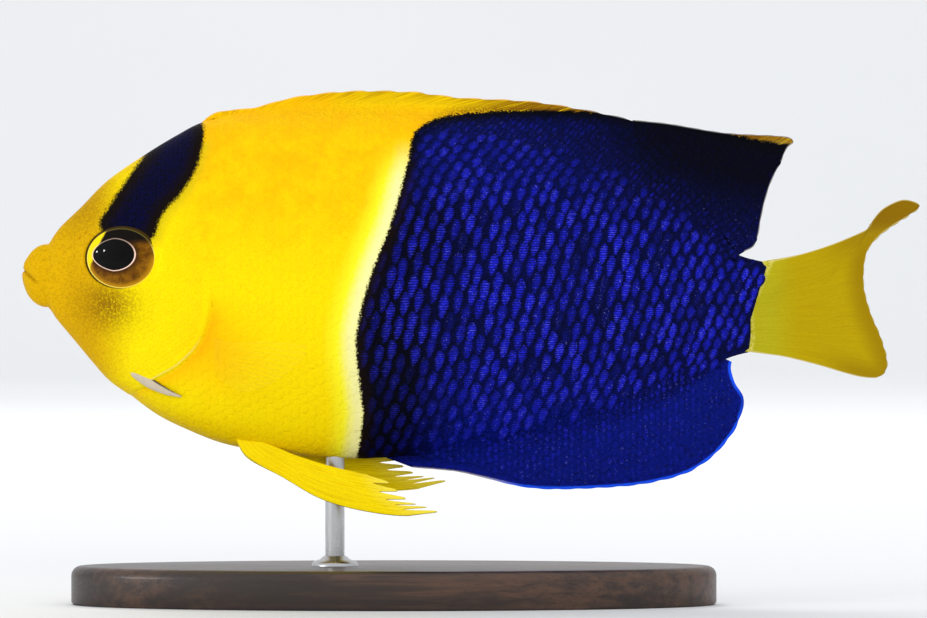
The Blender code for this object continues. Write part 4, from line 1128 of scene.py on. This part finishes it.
upper_edge = girth[:, ROWS_BELOW + BODY_ROWS - 1]


def by_fin(x, around):
    """1 where a fin grows out of the body's nearer edge and 0 elsewhere."""
    by_dorsal = ease(x, SPINY_ROOT[0], SPINY_ROOT[0] + 4)
    return np.where(around > 0, by_dorsal, ease(x, ANAL_ROOT[0], ANAL_ROOT[0] + 4))


bed = np.array([np.column_stack([np.interp(GIRTH_STEPS, line, axis) for axis in place.T])
                for line, place in zip(girth, sampled)])
bare_bed = bed.copy()
for _ in range(SMOOTHING_PASSES):
    bed[:, 1:-1] = (bed[:, :-2] + 2 * bed[:, 1:-1] + bed[:, 2:]) / 4
bed = bare_bed + (bed - bare_bed) * by_fin(station[:, None], GIRTH_STEPS[None, :])[..., None]
bed_normal = np.cross(np.gradient(bed, axis=1), np.gradient(bed, axis=0))
bed_normal /= np.maximum(np.linalg.norm(bed_normal, axis=2, keepdims=True), 1e-9)


def on_skin(x, around):
    """Bare points and normals at a distance back and a distance round the body."""
    i = np.clip(np.interp(x, station, np.arange(len(station))), 0, len(station) - 1.001)
    j = np.clip((around - GIRTH_STEPS[0]) / (GIRTH_STEPS[1] - GIRTH_STEPS[0]), 0, len(GIRTH_STEPS) - 1.001)
    i0, j0 = i.astype(int), j.astype(int)
    fi, fj = (i - i0)[..., None], (j - j0)[..., None]
    found = []
    for table in (bed, bed_normal):
        near = table[i0, j0] * (1 - fj) + table[i0, j0 + 1] * fj
        far = table[i0 + 1, j0] * (1 - fj) + table[i0 + 1, j0 + 1] * fj
        found.append(near * (1 - fi) + far * fi)
    return found


x = np.linspace(SHEATH_START, SHEATH_END, 320)[:, None]
fin_height = curve_at(smooth(SPINY_MARGIN), x) - curve_at(BACK_CURVE, x)
across = np.linspace(0, 1, SHEATH_ROWS)
above = -SHEATH_BELOW + (SHEATH_BELOW + np.clip(0.55 * fin_height, 0.1, SHEATH_ABOVE)) * across
x = x + 0 * above
base, normal = on_skin(x, np.interp(x, station, upper_edge) + above)
edge_sunk = SHEATH_EDGE_SUNK + SHEATH_FRONT_SUNK * (1 - ease(x, 36.0, 44.0))
off_ends = ease(x, SHEATH_START, SHEATH_START + 2.5) * (1 - ease(x, SHEATH_END - 2.0, SHEATH_END))
end_sunk = SHEATH_END_SUNK * (1 - off_ends)
rise = 0.02 - SKIN_DEPTH * (1 - ease(above, -1.5, 0.0)) - edge_sunk * ease(np.abs(2 * across - 1), 0.7, 1.0)
rise = (rise - end_sunk)[..., None]
strip = np.concatenate([base + normal * rise, base + normal * (rise - SHEATH_THICK)])
sheath_faces = sheet_faces(*x.shape)
for side, side_name in SIDES:
    faces = turned_over(sheath_faces) if side > 0 else sheath_faces
    sheath = surface_from(f"dorsal_sheath_{side_name}", world(strip, side).reshape(-1, 3), faces)
    paint(sheath, np.tile(base[..., 0].ravel(), 2), np.tile(base[..., 2].ravel(), 2))
    sheath.data.materials.append(skin_finish)
    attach(sheath, "root")

# The scales: thin rounded plates in slanting rows, each rooted under the ones ahead, with
# its rear edge free. They are tiny on the head, tallest on the blue flank, and run on over
# the bases of the dorsal and anal fins, where they shrink to specks.
PLATE_FRONT = -1.15          # a plate's root and rear edge, in spacings back along the body
PLATE_REAR = 1.0
PLATE_HALF = 0.62            # half its height, in spacings round the body
PLATE_LEAN = 0.6             # how much of its chain's lean a plate has
UNWRAPPED = 0.0015           # half a plate's size on the bake's picture
SCALE_SEED = 20              # the random draws' start, one less on the left and one more on the right
SCALE_STRAY = 0.08           # how far scales stray from their rows, in spacings
LEVEL = ((-70.0, 0.0), (160.0, 0.0))
STRAIGHT = ((-70.0, 1.0), (160.0, 1.0))
SCALES_START = 6.2
OVERLAP = [(55.0, 4.5), (100.0, 6.0), (107.0, 3.0), (113.0, 1.0)]     # of small scales on the body
OUTLINE_GAP = 0.65           # bare margin of the dorsal fin
RIM_GAP = 0.45               # and of the anal fin, wider in front by the next
RIM_GAP_FRONT = 0.6
# painted highlight: the lilac of the glints on the blue scales
PAINTED_GLINT_LILAC = (0.32, 0.34, 0.80)
BLUE_SPACING = ((45.0, 2.0), (70.0, 1.92), (92.0, 1.72), (105.0, 1.55), (114.0, 1.35))
BLUE_HEIGHT = ((-34.0, 2.5), (-24.0, 2.7), (-13.0, 3.0), (-5.0, 3.35), (6.0, 3.35), (11.0, 2.8),
               (16.0, 2.0), (20.0, 1.6), (32.0, 1.3))
BLUE_LEAN = ((-40.0, -15.1), (-14.0, -4.2), (6.0, 1.8), (17.0, 6.0), (30.0, 15.0), (40.0, 22.0))
BLUE_DEEP = ((60.0, 1.0), (92.0, 0.9), (105.0, 0.7), (114.0, 0.62))
DORSAL_LEAN = ((-60.0, -50.0), (60.0, 50.0))
SCALE_KINDS = {
    "head": dict(spacing=((5.0, 0.56), (30.0, 0.68)), height=((-60.0, 0.74), (60.0, 0.74))),
    "trunk": dict(spacing=((5.0, 1.2), (60.0, 1.3)), height=((-60.0, 1.6), (60.0, 1.6))),
    "blue": dict(spacing=BLUE_SPACING, height=BLUE_HEIGHT, offset=0.7, deep=BLUE_DEEP, lean=BLUE_LEAN),
    "dorsal": dict(spacing=((60.0, 1.05), (118.0, 0.85)), height=((-60.0, 1.05), (60.0, 1.05)),
                   lean=DORSAL_LEAN),
    "anal": dict(spacing=((55.0, 1.05), (110.0, 0.9)), height=((-60.0, 1.05), (60.0, 1.05)))}
SCALE_PLATES = (("head", (7, 5), 0.03, "yellow_skin"), ("trunk", (9, 7), 0.025, "yellow_skin"),
                ("blue", (15, 11), 0.06, "blue_skin"), ("dorsal", (9, 7), 0.05, "blue_fin"),
                ("anal", (9, 7), 0.05, "blue_fin"))
fin_root = edge_of_body(BACK_CURVE, SPINY_ROOT[0], SOFT_ROOT_END, -9.0)
DORSAL_OUTLINE = np.vstack([fin_root, smooth(SOFT_MARGIN)[::-1], smooth(SPINY_MARGIN)[-2::-1]])
ANAL_OUTLINE = np.vstack([edge_of_body(BELLY_CURVE, *ANAL_ROOT, 9.0), smooth(ANAL_MARGIN)[::-1]])


def scale_places(seed, spacing, height, offset=0.5, deep=STRAIGHT, lean=LEVEL):
    """Places of scales in leaning chains, each chain a little lower than the one ahead.

    Each place is: back, round, spacing back, spacing round, lean, climb and a random number.
    """
    random = np.random.default_rng(seed)
    back = np.linspace(-20.0, 150.0, 3401)
    chains = np.concatenate([[0], np.cumsum(np.diff(back) / curve_at(spacing, back[1:]))])
    levels = np.linspace(-60.0, 70.0, 2601)
    rows = np.concatenate([[0], np.cumsum(np.diff(levels) / curve_at(height, levels[1:]))])
    chain, row = np.meshgrid(np.arange(1, chains[-1]), np.arange(1, rows[-1]), indexing="ij")
    chain, row = chain.ravel(), row.ravel()
    row = row - chain * offset % 1
    level = np.interp(row + random.normal(0, SCALE_STRAY, row.size), rows, levels)
    x = np.interp(chain + random.normal(0, SCALE_STRAY, row.size), chains, back) + curve_at(lean, level)
    leaning = (curve_at(lean, level + 0.5) - curve_at(lean, level - 0.5)) / curve_at(deep, x)
    climbing = level * (curve_at(deep, x + 0.5) - curve_at(deep, x - 0.5))
    return np.stack([x, level * curve_at(deep, x), curve_at(spacing, x),
                     curve_at(height, level) * curve_at(deep, x), leaning, climbing,
                     random.uniform(0, 1, row.size)], axis=1)


def kept_scales(kind, seed):
    """The places of one kind's scales that lie in its own part of the fish."""
    found = scale_places(seed, **SCALE_KINDS[kind])
    found = found[(found[:, 0] > SCALES_START + 1.5 * found[:, 6]) & (found[:, 0] < station[-2])]
    x, around, spacing, chance = found[:, 0], found[:, 1], found[:, 2], found[:, 6]
    place, _ = on_skin(x, around)
    px, pz = place[:, 0], place[:, 2]
    ends = x + np.array([[PLATE_FRONT], [0.0], [PLATE_REAR]]) * spacing
    above = (around - np.interp(ends, station, upper_edge)).max(axis=0)
    below = (np.interp(ends, station, lower_edge) - around).max(axis=0)
    blue = inside_distance(BLUE_AREA, px, pz)
    half = PLATE_HALF * found[:, 3] + 0.05
    on_dorsal = inside_distance(DORSAL_OUTLINE, px, pz) > np.maximum(OUTLINE_GAP, half)
    rim_gap = RIM_GAP + RIM_GAP_FRONT * (1 - ease(px, 66.0, 76.0))
    on_anal = inside_distance(ANAL_OUTLINE, px, pz) > half + rim_gap
    on_body = ((above < -half) | on_dorsal) & ((below < -half) | on_anal)
    tail_gap = 0.95 - 0.55 * chance + 0.8 * ease(pz, -2.4, -0.6)
    on_body &= (above > 0) | (px < np.interp(pz, TAIL_LINE[:, 1], TAIL_LINE[:, 0]) - tail_gap)
    scatter = 1.6 * (chance - 0.5)
    if kind in ("head", "trunk"):
        edge, behind, free = gill_cover(px, pz)
        loose = np.where(free > 0.05, 0.0, 2.5 * scatter)
        ahead = np.interp(pz, GILL_LINE[:, 1], GILL_LINE[:, 0]) + loose - px
        clear = np.where(free > 0.05, edge > np.where(behind, 0.3, 1.7) * spacing, True)
        keep = on_body & clear & (blue < 0.3) & ((ahead > 0) if kind == "head" else (ahead <= 0))
        keep &= above < 0.3 + scatter
        keep &= np.minimum(eye_reach(px, pz), eye_reach(px - spacing, pz)) > 1.17
        for nostril_x, nostril_z in NOSTRILS:
            keep &= np.hypot(px - nostril_x, pz - nostril_z) > 0.8
        return found[keep], above[keep]
    shared = curve_at(OVERLAP, px) + scatter
    if kind == "blue":
        keep = on_body & (blue > -0.5) & (above < 0.7 - shared) & (below < 3.7 - shared)
    elif kind == "dorsal":
        keep = on_body & (blue > 0.5) & (above > -shared)
    else:
        keep = on_body & (blue > 0.5) & (below > 3.0 - shared)
    return found[keep], np.maximum(above, below)[keep]


def plate_template(across, lengthwise):
    """A plate's points as (along, across), and which of them are on its outline."""
    v = np.sin(np.linspace(-math.pi / 2, math.pi / 2, across))[:, None]
    t = 1 - (1 - np.linspace(0, 1, lengthwise)) ** 1.5
    rear = PLATE_REAR * np.sqrt(1 - 0.96 * v ** 2)
    u = PLATE_FRONT + (rear - PLATE_FRONT) * t[None, :]
    v = v * (1 - 0.25 * (1 - t) ** 2)
    outline = np.zeros(u.shape, bool)
    outline[:, -1] = outline[:, 0] = outline[0] = outline[-1] = True
    return u, v + 0 * u, outline


def lay_scales(name, places, glow, side, across, lengthwise, lift):
    """One piece of joined plates on one side of the body, closed and lying on the skin."""
    u, v, outline = plate_template(across, lengthwise)
    x, around, spacing, height, lean, climb = [column[:, None, None] for column in places.T[:6]]
    middle, _ = on_skin(x, around)
    behind = gill_cover(middle[..., 0], middle[..., 2])[1]
    x = x + u * spacing + PLATE_LEAN * lean * v * PLATE_HALF * height
    around = around + v * PLATE_HALF * height + climb * u * spacing
    base, normal = on_skin(x, around)
    past_edge = np.maximum(around - np.interp(x, station, upper_edge),
                           np.interp(x, station, lower_edge) - around)
    tilt = (u - PLATE_FRONT) / (PLATE_REAR - PLATE_FRONT)
    rise = np.where(outline, -0.04, lift * spacing * (1.5 * tilt - 0.35 * v ** 2))
    rise = rise + swellings(base[..., 0], base[..., 2], behind)
    rise = rise - SKIN_DEPTH * (1 - ease(past_edge, -1.5, 0.0) * by_fin(x, around))
    points = base + normal * rise[..., None]
    starts = np.arange(len(places)) * u.size
    quads = (np.array(grid_faces(across, lengthwise))[None] + starts[:, None, None]).reshape(-1, 4)
    under = np.array(grid_rim(across, lengthwise))[None] + starts[:, None]
    if side > 0:
        under = under[:, ::-1]
    else:
        quads = quads[:, ::-1]
    piece = surface_from(name, world(points, side).reshape(-1, 3), quads.tolist() + under.tolist())
    paint(piece, base[..., 0].ravel(), base[..., 2].ravel())
    plate = np.broadcast_arrays(u, v, glow[:, None, None])
    write_attribute(piece, "plate", *[value.ravel() for value in plate])
    low, high = places[:, :2].min(axis=0), places[:, :2].max(axis=0)
    centre = 0.02 + 0.96 * (places[:, :2] - low) / (high - low)
    unwrapped = (centre[:, None, None, :] + np.stack([u, v], axis=-1)[None] * UNWRAPPED).reshape(-1, 2)
    bake = piece.data.uv_layers.new(name="OFBake")
    corner = np.empty(len(piece.data.loops), np.int32)
    piece.data.loops.foreach_get("vertex_index", corner)
    bake.uv.foreach_set("vector", np.ascontiguousarray(unwrapped[corner], dtype=np.float32).ravel())
    piece.data.materials.append(scale_finish)
    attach(piece, "root")
    return piece


scale_finish, tree, shader = new_material("fish_scales")
place = where(tree)
along, across, glow = attribute(tree, "plate")
grit = noise(tree, place, 0.27, 3, 0.7)
blotches = noise(tree, place, 1.4, 2)
spot_half = rising(tree, across, -1.0, 0.5, 0.19, 0.33)
from_middle = maths(tree, "DIVIDE", maths(tree, "SUBTRACT", along, 0.45), spot_half)
off_middle = maths(tree, "POWER", from_middle, 2.0)
off_row = maths(tree, "POWER", maths(tree, "DIVIDE", across, 0.8), 2.0)
far = maths(tree, "ADD", off_middle, off_row, product(tree, grit, 4.0), product(tree, blotches, 1.6))
lit = product(tree, rising(tree, far, 4.9, 2.0), attribute(tree, "blues")[1])
ribs = maths(tree, "SINE", product(tree, across, 32.0))
ribbing = product(tree, rising(tree, ribs, -1.0, 1.0, 0.5, 1.5), rising(tree, grit, 0.3, 0.7, 1.25, 0.7))
# painted highlights: lilac glints and dashes on the scales' blue spots
painted_glints = product(tree, rising(tree, noise(tree, place, 0.22, 1), 0.64, 0.78), lit, 0.5)
painted_glint_dashes = product(tree, rising(tree, ribs, 0.3, 0.95, 0, 0.34), rising(tree, glow, 0.7, 1.1),
                 rising(tree, noise(tree, place, 0.45, 2), 0.46, 0.66), lit)
blue_scale = painted(tree, blue_ground(tree, place), (product(tree, lit, ribbing, glow), BRIGHT_BLUE),
                     (maths(tree, "MAXIMUM", painted_glint_dashes, painted_glints), PAINTED_GLINT_LILAC))
tree.links.new(coat_colour(tree, place, blue_scale), shader.inputs["Base Color"])
tree.links.new(rising(tree, grit, 0.3, 0.7, 0.3, 0.48), shader.inputs["Roughness"])
shader.inputs["IOR"].default_value = FLESH_INDEX
bump(tree, shader, maths(tree, "ADD", product(tree, ribs, 0.25), grit), 0.03)

for side, side_name in SIDES:
    for kind, shape, lift, slot in SCALE_PLATES:
        places, past = kept_scales(kind, SCALE_SEED + side)
        chance = places[:, 6] * 7.31 % 1
        glow = np.where(chance < 0.07, 0.15, 0.4 + 0.75 * chance)
        if kind in ("dorsal", "anal"):
            glow = (0.10 + 0.7 * chance ** 2) * (1 - 0.6 * ease(past, 0.0, 8.0))
            glow *= 1 - 0.6 * ease(places[:, 0], 100.0, 106.0)
        piece = lay_scales(f"{kind}_scales_{side_name}", places, glow, side, *shape, lift)

# The studio: a plain pale floor that curves up all round, a large soft light in front,
# others behind and on the backdrop, and two small lamps that glint in the eye.
FLOOR_RADIUS = 3.4
FLOOR_SIDES = 96
WALL_BEND = 0.9
WALL_TOP = 1.2
PAPER_SHADE = (0.76, 0.77, 0.78)
PAPER_PALE = (0.80, 0.80, 0.80)
AIR_COLOUR = (0.95, 0.97, 1.0)
AIR_STRENGTH = 0.9
LIGHTS = [("key", (0.3, -1.5, 0.34), (0, 0, 0.04), 0.62, 7.7, (1.0, 0.99, 0.96)),
          ("rear", (-0.3, 1.2, 1.4), (0, 0, 0.05), 1.0, 13.0, (1.0, 1.0, 1.0)),
          ("backdrop", (0.0, 2.2, 2.4), (0, 4.3, 0.4), 1.5, 20.0, (1.0, 1.0, 1.0)),
          ("glint_left", (-0.954, -0.41, 0.214), (0, 0, 0.05), 0.035, 1.1, (1.0, 1.0, 1.0)),
          ("glint_right", (-0.859, -0.575, 0.227), (0, 0, 0.05), 0.035, 0.8, (1.0, 1.0, 1.0))]
floor_profile = [(0.0001, 0.0), (0.4, 0.0), (FLOOR_RADIUS, 0.0)]
for a in np.linspace(0, math.pi / 2, 14)[1:]:
    floor_profile.append((FLOOR_RADIUS + WALL_BEND * math.sin(a), WALL_BEND * (1 - math.cos(a))))
floor_profile.append((FLOOR_RADIUS + WALL_BEND, WALL_TOP))
points = []
for radius, height in floor_profile:
    for angle in np.linspace(0, 2 * math.pi, FLOOR_SIDES, endpoint=False):
        points.append((radius * math.cos(angle), radius * math.sin(angle), height))
floor = surface_from("studio_floor", points, ring_faces(len(floor_profile), FLOOR_SIDES))
paper, tree, shader = new_material("pale_paper")
shader.inputs["Roughness"].default_value = 0.9
tint = noise(tree, where(tree), 400, 2)
tree.links.new(mixed(tree, tint, PAPER_SHADE, PAPER_PALE), shader.inputs["Base Color"])
floor.data.materials.append(paper)

for name, spot, aim, size, power, tint in LIGHTS:
    light = bpy.data.objects.new(name, bpy.data.lights.new(name, "AREA"))
    light.data.size = size
    light.data.energy = power
    light.data.color = tint
    light.visible_glossy = name not in ("key", "rear")
    light.location = spot
    light.rotation_euler = (Vector(aim) - Vector(spot)).to_track_quat("-Z", "Y").to_euler()
    bpy.context.collection.objects.link(light)
world_light = bpy.data.worlds.new("studio_air")
bpy.context.scene.world = world_light
world_light.use_nodes = True
air = world_light.node_tree.nodes["Background"]
air.inputs["Color"].default_value = (*AIR_COLOUR, 1)
air.inputs["Strength"].default_value = AIR_STRENGTH
bpy.context.scene.view_settings.view_transform = "Standard"
